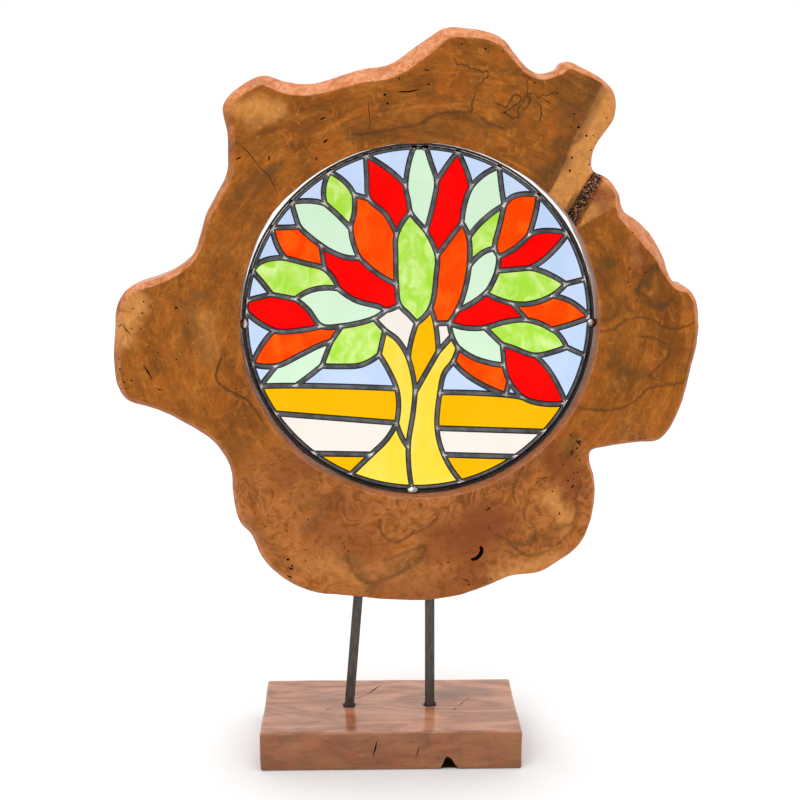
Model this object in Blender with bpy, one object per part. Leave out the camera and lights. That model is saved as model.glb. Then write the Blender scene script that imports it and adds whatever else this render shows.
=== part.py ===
"""Leaded-glass tree of life roundel in a live-edge teak slab, on two steel bars and a teak block.

Frame: +Z up, the glass faces -Y, the origin is the centre of the base block's underside.
The roundel's drawing is given in millimetres right (+X) and up (+Z) of the roundel's centre.
"""

import math

import bmesh
import bpy
from mathutils import Matrix, Vector

MM = 0.001
GAP = 0.3 * MM  # between touching pieces

# Base block
BASE_WIDTH = 190 * MM
BASE_DEPTH = 104 * MM
BASE_HEIGHT = 29 * MM
BASE_EDGE = 1.2 * MM
VOID_CORNERS = ((35, -1), (50, -1), (40, 11))  # natural void in the lower front edge, in mm
VOID_DEPTH = 9 * MM
VOID_NARROWING = 0.5

# Support bars
BAR_SIDE = 7 * MM
BAR_IN_BASE = 20 * MM
BAR_TOP_Z = 142 * MM
BAR_EDGE = 0.5 * MM
LEFT_FOOT_X = -32.5 * MM
LEFT_HEAD_X = -21.5 * MM
RIGHT_FOOT_X = 30 * MM
RIGHT_HEAD_X = 29.5 * MM

# Roundel and the window that holds it
CENTRE_X = 20.5 * MM
CENTRE_Z = 322 * MM
SLAB_DEPTH = 40 * MM
EDGE_FALL = 1.4  # depth of the sloping live edge, for a width of 1
BACK_ROUNDING = 4 * MM
BACK_INSET = 0.3  # of the sloping edge's width, at the back face
KNOT_RIGHT = 42.5 * MM  # natural hole, from the roundel's centre
KNOT_UP = -168 * MM
KNOT_HALF_WIDTH = 3.8 * MM
KNOT_HALF_HEIGHT = 5 * MM
KNOT_DEPTH = 12 * MM
KNOT_NARROWING = 0.5
KNOT_SIDES = 12
WINDOW_RADIUS = 128.8 * MM
WINDOW_OVAL = 1 * MM
OVAL_DIRECTION = math.radians(48)
HOOP_OUTER = 126.5 * MM
HOOP_INNER = 124.9 * MM
HOOP_DEPTH = 7 * MM
ROUND_SEGMENTS = 96
LEAD_OUTER = HOOP_INNER - GAP
RIM_LINE = 123.8 * MM  # radius at which the panes meet the rim
FLANGE_HALF = 1.95 * MM
HEART_HALF = 0.6 * MM
LEAD_DEPTH = 5 * MM
GROOVE_DEPTH = 3.4 * MM
GLASS_DEPTH = 2.8 * MM
GLASS_INSET = HEART_HALF + GAP
PIN_RADIUS = 1.2 * MM
PIN_OUTER = 138 * MM
PIN_ANGLES = {"pin_top": 90, "pin_right": 0, "pin_bottom": 270, "pin_left": 180}
PIN_SIDES = 10

# Sampling of curves
FINE_STEPS = 8
END_BEND = math.radians(35)  # most that an open end of a curve may bend
SLAB_STEPS = 2
CHORD_ERROR = 0.45 * MM
CORNER_TURN = math.radians(24)

# Slab outline, clockwise from the upper left lobe: right, up, width of the sloping live edge
OUTLINE = (
    (-136, 151, 6), (-132, 159, 6), (-119, 169, 7), (-108, 173, 7), (-94, 169, 8), (-79, 167, 8),
    (-66, 169, 8), (-39, 177, 9), (-20, 181, 10), (3, 196, 10), (18, 205, 8), (33, 205, 7),
    (49, 202, 6), (59, 196, 5), (65, 188, 4), (76, 177, 4), (84, 174, 4), (96, 177, 4),
    (101, 182, 5), (113, 178, 7), (127, 170, 9), (135, 162, 10), (137, 154, 10), (135, 143, 8),
    (124, 126, 6), (121, 116, 4), (122, 108, 3), (132, 102, 3), (140, 92, 3), (144, 80, 3),
    (155, 72, 3), (166, 61, 3), (173, 48, 3), (178, 33, 3), (184, 27, 3), (191, 25, 3),
    (197, 16, 3), (199, 3, 3), (199, -12, 3), (194, -38, 3), (189, -59, 3), (181, -77, 3),
    (173, -85, 3), (157, -87, 3), (135, -90, 3), (125, -93, 3), (124, -100, 3), (127, -111, 2),
    (128, -126, 2), (125, -147, 2), (118, -162, 2), (104, -174, 2), (90, -183, 2), (66, -187, 2),
    (52, -193, 2), (30, -201, 2), (12, -204, 2), (-14, -204, 2), (-59, -200, 2), (-74, -198, 2),
    (-90, -193, 3), (-102, -185, 4), (-114, -172, 5), (-122, -155, 5), (-130, -145, 5),
    (-134, -127, 5), (-135, -107, 4), (-139, -96, 4), (-148, -84, 4), (-161, -75, 4),
    (-177, -66, 4), (-194, -59, 4), (-208, -54, 4), (-215, -44, 5), (-217, -27, 6), (-216, -4, 7),
    (-214, 13, 6), (-208, 23, 5), (-201, 27, 4), (-187, 32, 4), (-173, 38, 4), (-160, 49, 4),
    (-154, 61, 4), (-149, 77, 4), (-142, 91, 5), (-134, 106, 5), (-133, 120, 6), (-133, 134, 6),
)

# Where cames meet the rim: degrees anticlockwise from the right
RIM = {
    "R1": 91.5, "R2": 107.5, "R3": 120.5, "R4": 136.5, "R5": 147, "R6": 163, "R7": 173,
    "R8": 176.5, "R9": 194.5, "R10": 202.5, "R11": 213, "R12": 232, "R13": 246.5, "R14": 268,
    "R15": 285, "R16": 305.5, "R17": 318.5, "R18": 330.5, "R19": 348, "R20": 1, "R21": 14,
    "R22": 30.5, "R23": 46.5, "R24": 62.5, "R25": 77, "R26": 87.5,
}

# Where cames meet each other
MEET = {
    "a": (-9, 96.5), "b": (-5.5, 78), "c": (-15.5, 62), "d": (-35, 87.5), "e": (-45.5, 90.5),
    "f": (-48, 66.5), "g": (-66, 84), "h": (-42, 45.5), "i": (-69, 54.5), "j": (-66.5, 37.5),
    "k": (-84.5, 68), "l": (-94.5, 45.5), "m": (-105, 19.5), "n": (-88, 16), "o": (-57, 23.5),
    "p": (-23, 8), "q": (-13.5, 12), "r": (-15.5, 26.5), "s": (-69.5, -3.5), "t": (-55, -3.5),
    "u": (-31.5, 2), "v": (-24, -6.5), "w": (-28, -24.5), "x": (-69.5, -32.5), "y": (-62.5, -14.5),
    "z": (-102.5, -32.5), "aa": (-88.5, -47), "ab": (106, 26.5), "ac": (48.5, 20),
    "ad": (67.5, 12.5), "ae": (78.5, 0.5), "af": (96.5, 18), "ag": (48, -5), "ah": (96.5, -6.5),
    "ai": (107.5, -19.5), "aj": (84.5, -25.5), "ak": (61, -17.5), "al": (62.5, -32.5),
    "am": (29, -19.5), "an": (25.5, -29.5), "ao": (64, -54.5), "ap": (16, -52.5), "aq": (66.5, -44.5),
    "ar": (-103.5, -6.5), "as": (76.5, -56.5), "au": (14, -79), "av": (19, -99), "aw": (-34, -98.5),
    "bb": (-15.5, -49.5), "cc": (-15.5, -75), "dd": (-7, -93), "ee": (-2, -52),
    "ff": (-7, -27), "gg": (-1, -1.5), "hh": (9, 9.5), "ii": (12.5, -2), "jj": (14.5, -22.5),
    "kk": (24.5, -11), "ll": (22.5, -1.5), "mm": (28, 7.5), "nn": (31, 70.5), "oo": (13, 99.5),
    "pp": (5.5, 64.5), "qq": (13.5, 47), "rr": (37.5, 96), "ss": (36, 60), "tt": (61, 83),
    "uu": (54.5, 52), "vv": (36.5, 39.5), "ww": (57.5, 46), "xx": (79, 61.5), "yy": (56.5, 36),
    "zz": (79.5, 38),
}

# Cames as smooth strokes through named meeting points and loose points between them
CAMES = (
    ("R2", (-19, 106.5), "a"),
    ("R1", "a", (-7, 86), "b", (-1.5, 72.5), "pp", "qq", (13, 34), "hh", "gg"),
    ("b", "c", (-16, 47), "r", "q", (-7, 5), "gg"),
    ("R2", (-36.5, 103), "d", (-24, 77.5), "c"), ("e", (-51.5, 99), "R3"), ("e", "d"),
    ("R3", (-67, 94.5), "g"), ("e", (-45.5, 77.5), "f", "h"), ("R4", (-75.5, 86), "g"),
    ("g", (-56, 75), "f"), ("h", (-53.5, 46.5), "i"), ("i", (-77.5, 61), "k", (-87.5, 76.5), "R4"),
    ("R5", (-92, 67.5), "k"), ("i", (-68, 45.5), "j"), ("l", (-100, 53.5), "R5"),
    ("l", (-79.5, 41.5), "j", "o"), ("R6", (-112, 43), "l"), ("m", "n"),
    ("o", (-75, 23), "n"), ("m", (-111, 27.5), "R6"), ("h", (-29.5, 34.5), "r"),
    ("q", "p", (-28, 10.5), (-44.5, 15), "o"), ("p", (-26.5, 5), "u"),
    ("u", (-41, -1), "t", "s", (-79, 8.5), "n"), ("R7", (-112, 18), "m"),
    ("R8", "ar", (-89, -7), "s"), ("R9", (-111.5, -15.5), "ar"), ("t", "y"),
    ("y", (-72, -18), (-85, -24.5), "z", "R9"), ("z", "R10"), ("y", (-66.5, -24.5), "x"),
    ("x", (-79.5, -40.5), "aa"), ("R10", "aa", "bb"), ("w", (-41, -32), (-54, -33), "x"),
    ("v", (-26, -15.5), "w"), ("u", "v", (-15, -13.5), "ff"),
    ("w", (-21, -36.5), "bb", (-14, -60), "cc"), ("ff", (-3.5, -40), "ee"),
    ("ee", (-3.5, -68), "dd", "R14"), ("cc", (-23, -87.5), "aw", "R13"),
    ("cc", (-11.5, -86), "dd"), ("gg", (-5, -14.5), "ff"), ("R26", (9, 112.5), "oo", (11, 86), "pp"),
    ("R25", (20, 110.5), "oo"), ("R25", (33.5, 108.5), "rr"),
    ("rr", (33.5, 86), "nn"), ("R24", (47, 105), "rr"), ("R24", (59, 95), "tt"),
    ("qq", "nn"), ("nn", "ss", "vv", (32.5, 18.5), "mm", "ll"), ("ll", "ii"),
    ("ss", (45.5, 71.5), "tt"), ("tt", (68.5, 89.5), "R23"),
    ("tt", (58, 68.5), "uu", "ww", "yy", (53.5, 28), "ac", "mm"), ("vv", (46, 49), "uu"),
    ("R23", (83.5, 77.5), "xx"), ("ww", (69.5, 52.5), "xx"), ("xx", (87.5, 64.5), "R22"),
    ("yy", "zz"), ("zz", (90, 44), "R22"), ("zz", (89.5, 35.5), "ab"), ("ab", "R21"),
    ("ab", "af", (82, 12.5), "ad", "ac"), ("ad", "ae"), ("af", (110.5, 13.5), "R20"),
    ("ll", (33.5, -5), "ag", (62, -1), "ae", "ah"), ("ah", (108, -3.5), "R20"),
    ("ah", (101.5, -10), "ai"), ("ai", "R19"), ("ai", (99.5, -22.5), "aj", (69, -20), "ak"),
    ("ak", "ag"), ("ak", "al"), ("ll", "kk", "am"), ("am", (42.5, -28), "al"), ("jj", "kk"),
    ("an", (34, -38.5), (46, -46.5), "ao"),
    ("am", "an", (19, -38.5), "ap", "au", "av", "R15"), ("jj", (5.5, -38.5), "ee"),
    ("hh", "ii", "jj"), ("al", "aq", "as", (90, -61), "R18"), ("aj", (95.5, -37), "R18"),
    ("aq", "ao"), ("ap", "ao", "as"), ("cc", "R11"), ("aw", "R12"), ("au", "R17"),
    ("av", "R16"),
)

# Glass colours
RED = (0.80, 0.01, 0.01)
ORANGE = (0.85, 0.10, 0.01)
LIME = (0.45, 0.75, 0.10)
MINT = (0.62, 0.88, 0.66)
SKY = (0.50, 0.62, 0.90)
AMBER = (0.85, 0.50, 0.01)
YELLOW = (0.88, 0.62, 0.08)
CREAM = (0.92, 0.86, 0.78)

# Panes: name, colour, and the meeting points round each one
PANES = (
    ("leaf_centre", LIME, "b pp qq hh gg q r c"),
    ("leaf_top", MINT, "R1 a b pp oo R26"),
    ("leaf_upper_left_red", RED, "R2 d c b a"),
    ("leaf_upper_left_orange", ORANGE, "e d c r h f"),
    ("leaf_upper_left_lime", LIME, "R3 g f e"),
    ("leaf_left_mint", MINT, "R4 g f h i k"),
    ("leaf_left_orange", ORANGE, "R5 k i j l"),
    ("leaf_left_red", RED, "i h r q p o j"),
    ("leaf_left_lime", LIME, "R6 l j o n m"),
    ("leaf_lower_left_mint", MINT, "n o p u t s"),
    ("leaf_lower_left_red", RED, "R7 m n s ar R8"),
    ("leaf_lower_left_orange", ORANGE, "R9 ar s t y z"),
    ("leaf_bottom_left_mint", MINT, "z y x aa R10"),
    ("leaf_bottom_left_lime", LIME, "t u v w x y"),
    ("leaf_upper_right_red", RED, "R25 oo pp qq nn rr"),
    ("leaf_centre_right_orange", ORANGE, "nn qq hh ii ll mm vv ss"),
    ("leaf_upper_right_mint", MINT, "R24 rr nn ss tt"),
    ("leaf_right_lime", LIME, "tt ss vv uu"),
    ("leaf_right_mint", MINT, "uu vv mm ac yy ww"),
    ("leaf_upper_right_orange", ORANGE, "R23 tt uu ww xx"),
    ("leaf_right_red", RED, "R22 xx ww yy zz"),
    ("leaf_far_right_lime", LIME, "zz yy ac ad af ab"),
    ("leaf_lower_right_red", RED, "mm ac ad ae ag ll"),
    ("leaf_far_right_orange", ORANGE, "ad af R20 ah ae"),
    ("leaf_lower_right_lime", LIME, "ag ae ah ai aj ak"),
    ("leaf_lower_right_mint", MINT, "ll ag ak al am kk"),
    ("leaf_bottom_right_orange", ORANGE, "am al aq ao an"),
    ("leaf_bottom_right_red", RED, "ak aj R18 as aq al"),
    ("branch_gap_left", CREAM, "u p q gg ff v"),
    ("branch_gap_right", CREAM, "ii ll kk jj"),
    ("trunk_left", YELLOW, "v ff ee dd cc bb w"),
    ("trunk_centre", AMBER, "hh ii jj ee ff gg"),
    ("trunk_right", YELLOW, "jj kk am an ap au av R15 R14 dd ee"),
    ("trunk_foot", YELLOW, "cc dd R14 R13 aw"),
    ("ground_left_amber", AMBER, "R10 aa bb cc R11"),
    ("ground_left_cream", CREAM, "R11 cc aw R12"),
    ("ground_left_foot", AMBER, "R12 aw R13"),
    ("ground_right_amber", AMBER, "ap ao as R18 R17 au"),
    ("ground_right_cream", CREAM, "au R17 R16 av"),
    ("ground_right_foot", AMBER, "av R16 R15"),
    ("sky_left_horizon", SKY, "aa x w bb"),
    ("sky_right_horizon", SKY, "an ao ap"),
    ("sky_upper_left", SKY, "R3 e d R2"),
    ("sky_left", SKY, "R6 l R5"),
    ("sky_lower_left", SKY, "R9 ar R8"),
    ("sky_upper_right", SKY, "R24 tt R23"),
    ("sky_right", SKY, "R23 xx R22"),
    ("sky_far_right", SKY, "R22 zz ab R21"),
    ("sky_low_right", SKY, "R20 ah ai R19"),
    ("sky_lower_right", SKY, "R19 ai aj R18"),
)

# The smallest openings, closed by a web of solder metal
WEBBED = (
    "R2 a R1", "R4 g R3", "R5 k R4", "R7 m R6", "R10 z R9", "R26 oo R25", "R25 rr R24",
    "R21 ab af R20", "aq as ao",
)


def bent_end(points):
    """A point before the first one, where the bend of the first two spans carries on."""
    step = points[1] - points[0]
    if len(points) < 3:
        return points[0] - step
    turn = step.angle_signed(points[2] - points[1])
    turn = max(-END_BEND, min(END_BEND, turn))
    back = Vector((math.cos(turn) * step.x - math.sin(turn) * step.y,
                   math.sin(turn) * step.x + math.cos(turn) * step.y))
    return points[0] - back


def smooth(points, closed, steps=FINE_STEPS):
    """A finely sampled centripetal Catmull-Rom curve through the points."""
    if closed:
        around = [points[-1], *points, points[0], points[1]]
    else:
        around = [bent_end(points), *points, bent_end(points[::-1])]
    curve = []
    for before, start, end, after in zip(around, around[1:], around[2:], around[3:]):
        knots = [0.0]
        for near, far in ((before, start), (start, end), (end, after)):
            knots.append(knots[-1] + max((far - near).length, 1e-9) ** 0.5)
        for step in range(steps):
            at = knots[1] + (knots[2] - knots[1]) * step / steps
            level = [before, start, end, after]
            for order in (1, 2):
                spans = zip(level, level[1:], knots, knots[order:])
                level = [p.lerp(q, (at - low) / (high - low)) for p, q, low, high in spans]
            share = (at - knots[1]) / (knots[2] - knots[1])
            curve.append(level[0].lerp(level[1], share))
    if not closed:
        curve.append(points[-1].copy())
    return curve


def place(name):
    """The flat position of a meeting point, from the roundel's centre."""
    if name in RIM:
        angle = math.radians(RIM[name])
        return RIM_LINE * Vector((math.cos(angle), math.sin(angle)))
    return MM * Vector(MEET[name])


def came_edges():
    """The fine curve between each two neighbouring meeting points, both ways."""
    edges = {}
    for stroke in CAMES:
        points = [place(p) if isinstance(p, str) else MM * Vector(p) for p in stroke]
        curve = smooth(points, closed=False)
        named = [i for i, p in enumerate(stroke) if isinstance(p, str)]
        for first, last in zip(named, named[1:]):
            part = curve[first * FINE_STEPS : last * FINE_STEPS + 1]
            edges[stroke[first], stroke[last]] = part
            edges[stroke[last], stroke[first]] = part[::-1]
    return edges


def rim_edge(first, last):
    """The rim between two meeting points, the short way round."""
    turn = (RIM[last] - RIM[first] + 180) % 360 - 180
    steps = 2 * FINE_STEPS
    angles = [math.radians(RIM[first] + turn * i / steps) for i in range(steps + 1)]
    return [RIM_LINE * Vector((math.cos(a), math.sin(a))) for a in angles]


def sample_flags(curve):
    """Which points of a curve are kept, so that straight lines between them follow it closely."""
    last = len(curve) - 1
    chord = curve[last] - curve[0]
    bulge = max(abs(chord.cross(p - curve[0])) for p in curve) / chord.length
    count = max(1, math.ceil(math.sqrt(bulge / CHORD_ERROR)))
    kept = {round(last * i / count) for i in range(count)}
    return [i in kept for i in range(last)]


def sides_of(names, edges):
    """A pane's smooth sides, anticlockwise: each a fine curve, and the points kept of it."""
    loop, flags = [], []
    for first, last in zip(names, names[1:] + names[:1]):
        on_rim = first in RIM and last in RIM
        curve = rim_edge(first, last) if on_rim else edges[first, last]
        loop += curve[:-1]
        flags += sample_flags(curve)
    if sum(p.cross(q) for p, q in zip(loop, loop[1:] + loop[:1])) < 0:
        loop.reverse()
        flags.reverse()
    corners = []
    for i, point in enumerate(loop):
        after = loop[(i + 1) % len(loop)] - point
        if abs((point - loop[i - 1]).angle_signed(after)) > CORNER_TURN:
            corners.append(i)
    turn = corners[0]
    loop, flags = loop[turn:] + loop[: turn + 1], flags[turn:] + flags[:turn]
    cuts = [i - turn for i in corners] + [len(flags)]
    sides = []
    for start, end in zip(cuts, cuts[1:]):
        kept = [0] + [i - start for i in range(start + 1, end) if flags[i]]
        sides.append((loop[start : end + 1], kept))
    return sides


def shifted(side, distance):
    """A side moved inwards, with straight ends added so that it meets its neighbours."""
    moved = []
    for i, point in enumerate(side):
        along = side[min(i + 1, len(side) - 1)] - side[max(i - 1, 0)]
        along.normalize()
        moved.append(point + distance * Vector((-along.y, along.x)))
    reach = 4 * distance
    start = moved[0] - reach * (moved[1] - moved[0]).normalized()
    end = moved[-1] + reach * (moved[-1] - moved[-2]).normalized()
    return [start, *moved, end]


def crossing(first, second):
    """Where one curve's end crosses the next one's start, as positions along both."""
    for reach in range(len(first) + len(second)):
        for i in range(min(reach, len(first) - 2) + 1):
            j = reach - i
            if j > len(second) - 2:
                continue
            a, b = first[-2 - i], first[-1 - i]
            c, d = second[j], second[j + 1]
            scale = (b - a).cross(d - c)
            if abs(scale) < 1e-14:
                continue
            s = (c - a).cross(d - c) / scale
            t = (c - a).cross(b - a) / scale
            if 0 <= s <= 1 and 0 <= t <= 1:
                return len(first) - 2 - i + s, j + t
    raise ValueError("two sides of a pane do not meet")


def at_position(curve, position):
    index = min(int(position), len(curve) - 2)
    return curve[index].lerp(curve[index + 1], position - index)


def inset(sides, distance):
    """A pane's outline moved inwards, with the same number of points for any distance."""
    curves = [shifted(side, distance) for side, _ in sides]
    ends, starts = [], []
    for first, second in zip(curves, curves[1:] + curves[:1]):
        end, start = crossing(first, second)
        ends.append(end)
        starts.append(start)
    starts = starts[-1:] + starts[:-1]
    outline = []
    for (side, kept), curve, start, end in zip(sides, curves, starts, ends):
        if start >= end:
            raise ValueError("a pane's side is too short to be inset")
        for index in kept:
            share = index / (len(side) - 1)
            outline.append(at_position(curve, start + share * (end - start)))
    return outline


def ring(bm, outline, y):
    """A closed loop of vertices in a plane that faces the viewer."""
    return [bm.verts.new((CENTRE_X + p.x, y, CENTRE_Z + p.y)) for p in outline]


def band(bm, first, second):
    """Faces between two loops with the same number of points."""
    count = len(first)
    for i in range(count):
        j = (i + 1) % count
        bm.faces.new((first[i], first[j], second[j], second[i]))


def fill(bm, loops):
    """A flat face inside the first loop and outside the others."""
    edges = []
    for loop in loops:
        for first, second in zip(loop, loop[1:] + loop[:1]):
            edges.append(bm.edges.get((first, second)) or bm.edges.new((first, second)))
    bmesh.ops.triangle_fill(bm, use_beauty=True, edges=edges)


def circle(radius):
    turns = [2 * math.pi * i / ROUND_SEGMENTS for i in range(ROUND_SEGMENTS)]
    return [radius * Vector((math.cos(a), math.sin(a))) for a in turns]


def window():
    """The hand-cut window: nearly round, a little wider along one diagonal."""
    outline = []
    for i in range(ROUND_SEGMENTS):
        angle = 2 * math.pi * i / ROUND_SEGMENTS
        radius = WINDOW_RADIUS + WINDOW_OVAL * math.cos(2 * (angle - OVAL_DIRECTION))
        outline.append(radius * Vector((math.cos(angle), math.sin(angle))))
    return outline


def material(name, colour, roughness, metallic=0.0):
    made = bpy.data.materials.new(name)
    made.use_nodes = True
    shader = made.node_tree.nodes["Principled BSDF"]
    shader.inputs["Base Color"].default_value = (*colour, 1)
    shader.inputs["Roughness"].default_value = roughness
    shader.inputs["Metallic"].default_value = metallic
    return made


def finish(name, bm, look, round_piece=False):
    """A named object from a bmesh, with its normals facing out."""
    bmesh.ops.recalc_face_normals(bm, faces=bm.faces)
    mesh = bpy.data.meshes.new(name)
    bm.to_mesh(mesh)
    bm.free()
    mesh.materials.append(look)
    if round_piece:
        mesh.shade_smooth()
        mesh.set_sharp_from_angle(angle=math.radians(35))
    obj = bpy.data.objects.new(name, mesh)
    bpy.context.scene.collection.objects.link(obj)
    return obj


def cut(target, cutter):
    """Takes the cutter out of the target with a Boolean modifier."""
    cutter.hide_render = True
    cutter.display_type = "WIRE"
    modifier = target.modifiers.new(cutter.name, "BOOLEAN")
    modifier.operation = "DIFFERENCE"
    modifier.solver = "EXACT"
    modifier.object = cutter


def bar(name, foot, head, side, look, edge=0.0):
    """A square bar between two points."""
    bm = bmesh.new()
    along = head - foot
    bmesh.ops.create_cube(bm, size=1)
    bmesh.ops.scale(bm, vec=(side, side, along.length), verts=bm.verts)
    if edge:
        bmesh.ops.bevel(bm, geom=bm.edges, offset=edge, segments=1, affect="EDGES")
    turn = along.to_track_quat("Z", "X").to_matrix()
    bmesh.ops.rotate(bm, matrix=turn, verts=bm.verts)
    bmesh.ops.translate(bm, vec=(foot + head) / 2, verts=bm.verts)
    return finish(name, bm, look)


def radial_rod(name, degrees, radius, inner, outer, look):
    """A round rod that points outwards from the roundel's centre."""
    bm = bmesh.new()
    bmesh.ops.create_cone(
        bm, cap_ends=True, segments=PIN_SIDES, radius1=radius, radius2=radius, depth=outer - inner
    )
    angle = math.radians(degrees)
    out = Vector((math.cos(angle), 0, math.sin(angle)))
    bmesh.ops.rotate(bm, matrix=out.to_track_quat("Z", "Y").to_matrix(), verts=bm.verts)
    middle = Vector((CENTRE_X, 0, CENTRE_Z)) + out * (inner + outer) / 2
    bmesh.ops.translate(bm, vec=middle, verts=bm.verts)
    return finish(name, bm, look, round_piece=True)


def build_slab(look):
    """A live-edge slab with a round window, its edge sloping from the front face outwards."""
    outer = smooth([MM * Vector((x, z)) for x, z, _ in OUTLINE], closed=True, steps=SLAB_STEPS)
    widths = [Vector((w * MM, 0)) for *_, w in OUTLINE]
    widths = [w.x for w in smooth(widths, closed=True, steps=SLAB_STEPS)]
    front, back = [], []
    for i, point in enumerate(outer):
        along = (outer[(i + 1) % len(outer)] - outer[i - 1]).normalized()
        inward = widths[i] * Vector((along.y, -along.x))
        front.append(point + inward)
        back.append(point + BACK_INSET * inward)
    bm = bmesh.new()
    half = SLAB_DEPTH / 2
    rings = [ring(bm, front, -half), ring(bm, outer, -half)]
    for vertex, width in zip(rings[1], widths):
        vertex.co.y += EDGE_FALL * width
    rings += [ring(bm, outer, half - BACK_ROUNDING), ring(bm, back, half)]
    for first, second in zip(rings, rings[1:]):
        band(bm, first, second)
    holes = [ring(bm, window(), -half), ring(bm, window(), half)]
    band(bm, *holes)
    fill(bm, (rings[0], holes[0]))
    fill(bm, (rings[-1], holes[1]))
    return finish("teak_slab", bm, look)


def build_base(look):
    """The base block, with softened edges and the natural void at its lower front edge."""
    bm = bmesh.new()
    bmesh.ops.create_cube(bm, size=1)
    bmesh.ops.scale(bm, vec=(BASE_WIDTH, BASE_DEPTH, BASE_HEIGHT), verts=bm.verts)
    bmesh.ops.translate(bm, vec=(0, 0, BASE_HEIGHT / 2), verts=bm.verts)
    bmesh.ops.bevel(bm, geom=bm.edges, offset=BASE_EDGE, segments=2, affect="EDGES")
    block = finish("base_block", bm, look)
    bm = bmesh.new()
    front = -BASE_DEPTH / 2
    corners = [MM * Vector(c) for c in VOID_CORNERS]
    inner = [c.lerp(corners[0], VOID_NARROWING) for c in corners]
    mouth = [bm.verts.new((c.x, front - VOID_DEPTH, c.y)) for c in corners]
    floor = [bm.verts.new((c.x, front + VOID_DEPTH, c.y)) for c in inner]
    band(bm, mouth, floor)
    bm.faces.new(mouth)
    bm.faces.new(floor)
    cut(block, finish("void_cutter", bm, look))
    return block


def knot_hole(look):
    """A cutter for the blind natural hole in the slab's front face."""
    bm = bmesh.new()
    turn = Matrix.Rotation(math.radians(-90), 4, "X")
    bmesh.ops.create_cone(
        bm, cap_ends=True, segments=KNOT_SIDES, radius1=1, radius2=KNOT_NARROWING, depth=1,
        matrix=turn,
    )
    size = (KNOT_HALF_WIDTH, 2 * KNOT_DEPTH, KNOT_HALF_HEIGHT)
    bmesh.ops.scale(bm, vec=size, verts=bm.verts)
    where = (CENTRE_X + KNOT_RIGHT, -SLAB_DEPTH / 2, CENTRE_Z + KNOT_UP)
    bmesh.ops.translate(bm, vec=where, verts=bm.verts)
    return finish("knot_cutter", bm, look)


def build_hoop(look):
    """The flat hoop round the leading."""
    bm = bmesh.new()
    half = HOOP_DEPTH / 2
    outer, inner = circle(HOOP_OUTER), circle(HOOP_INNER)
    rings = [ring(bm, outer, -half), ring(bm, outer, half), ring(bm, inner, half)]
    rings.append(ring(bm, inner, -half))
    for first, second in zip(rings, rings[1:] + rings[:1]):
        band(bm, first, second)
    return finish("hoop", bm, look, round_piece=True)


def build_leading(edges, look):
    """The soldered net of cames: flanges in front and behind, a thin heart between panes."""
    bm = bmesh.new()
    face, groove, glass = LEAD_DEPTH / 2, GROOVE_DEPTH / 2, GLASS_DEPTH / 2
    rims = [ring(bm, circle(LEAD_OUTER), -face), ring(bm, circle(LEAD_OUTER), face)]
    band(bm, *rims)
    fronts, backs = [rims[0]], [rims[1]]
    for _, _, names in PANES:
        sides = sides_of(names.split(), edges)
        flange, heart = inset(sides, FLANGE_HALF), inset(sides, HEART_HALF)
        depths = (
            (flange, -face), (flange, -groove), (heart, -groove),
            (heart, groove), (flange, groove), (flange, face),
        )
        rings = [ring(bm, outline, y) for outline, y in depths]
        for first, second in zip(rings, rings[1:]):
            band(bm, first, second)
        fronts.append(rings[0])
        backs.append(rings[-1])
    for names in WEBBED:
        flange = inset(sides_of(names.split(), edges), FLANGE_HALF)
        for top, web, faces in ((-face, -glass, fronts), (face, glass, backs)):
            rings = [ring(bm, flange, top), ring(bm, flange, web)]
            band(bm, *rings)
            bm.faces.new(rings[1])
            faces.append(rings[0])
    fill(bm, fronts)
    fill(bm, backs)
    return finish("leading", bm, look)


def build_pane(name, names, edges, look):
    """One pane of glass, held all round in the cames' grooves."""
    outline = inset(sides_of(names.split(), edges), GLASS_INSET)
    bm = bmesh.new()
    half = GLASS_DEPTH / 2
    faces = [ring(bm, outline, -half), ring(bm, outline, half)]
    band(bm, *faces)
    bm.faces.new(faces[0])
    bm.faces.new(faces[1])
    return finish(name, bm, look)


def main():
    for old in list(bpy.data.objects):
        bpy.data.objects.remove(old, do_unlink=True)
    teak = material("teak", (0.42, 0.17, 0.05), 0.35)
    steel = material("dark_steel", (0.10, 0.10, 0.10), 0.35, metallic=1.0)
    zinc = material("hoop_metal", (0.16, 0.15, 0.15), 0.4, metallic=1.0)
    lead = material("lead", (0.11, 0.11, 0.12), 0.4, metallic=1.0)
    solder = material("solder", (0.65, 0.65, 0.66), 0.2, metallic=1.0)

    slab = build_slab(teak)
    base = build_base(teak)
    ends = (("left", LEFT_FOOT_X, LEFT_HEAD_X), ("right", RIGHT_FOOT_X, RIGHT_HEAD_X))
    for side, foot_x, head_x in ends:
        foot = Vector((foot_x, 0, BASE_HEIGHT - BAR_IN_BASE))
        head = Vector((head_x, 0, BAR_TOP_Z))
        bar(f"support_bar_{side}", foot, head, BAR_SIDE, steel, BAR_EDGE)
        spare = GAP * (head - foot).normalized()
        socket = bar(
            f"socket_cutter_{side}", foot - spare, head + spare, BAR_SIDE + 2 * GAP, steel
        )
        cut(slab, socket)
        cut(base, socket)
    cut(slab, knot_hole(teak))

    hoop = build_hoop(zinc)
    for name, degrees in PIN_ANGLES.items():
        radial_rod(name, degrees, PIN_RADIUS, HOOP_INNER, PIN_OUTER, solder)
        hole = radial_rod(
            f"{name}_cutter", degrees, PIN_RADIUS + GAP, HOOP_INNER - 2 * GAP, PIN_OUTER + GAP, solder
        )
        cut(slab, hole)
        cut(hoop, hole)

    edges = came_edges()
    build_leading(edges, lead)
    looks = {}
    for name, colour, names in PANES:
        if colour not in looks:
            looks[colour] = material(f"glass_{len(looks) + 1}", colour, 0.08)
        build_pane(name, names, edges, looks[colour])


main()
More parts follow.
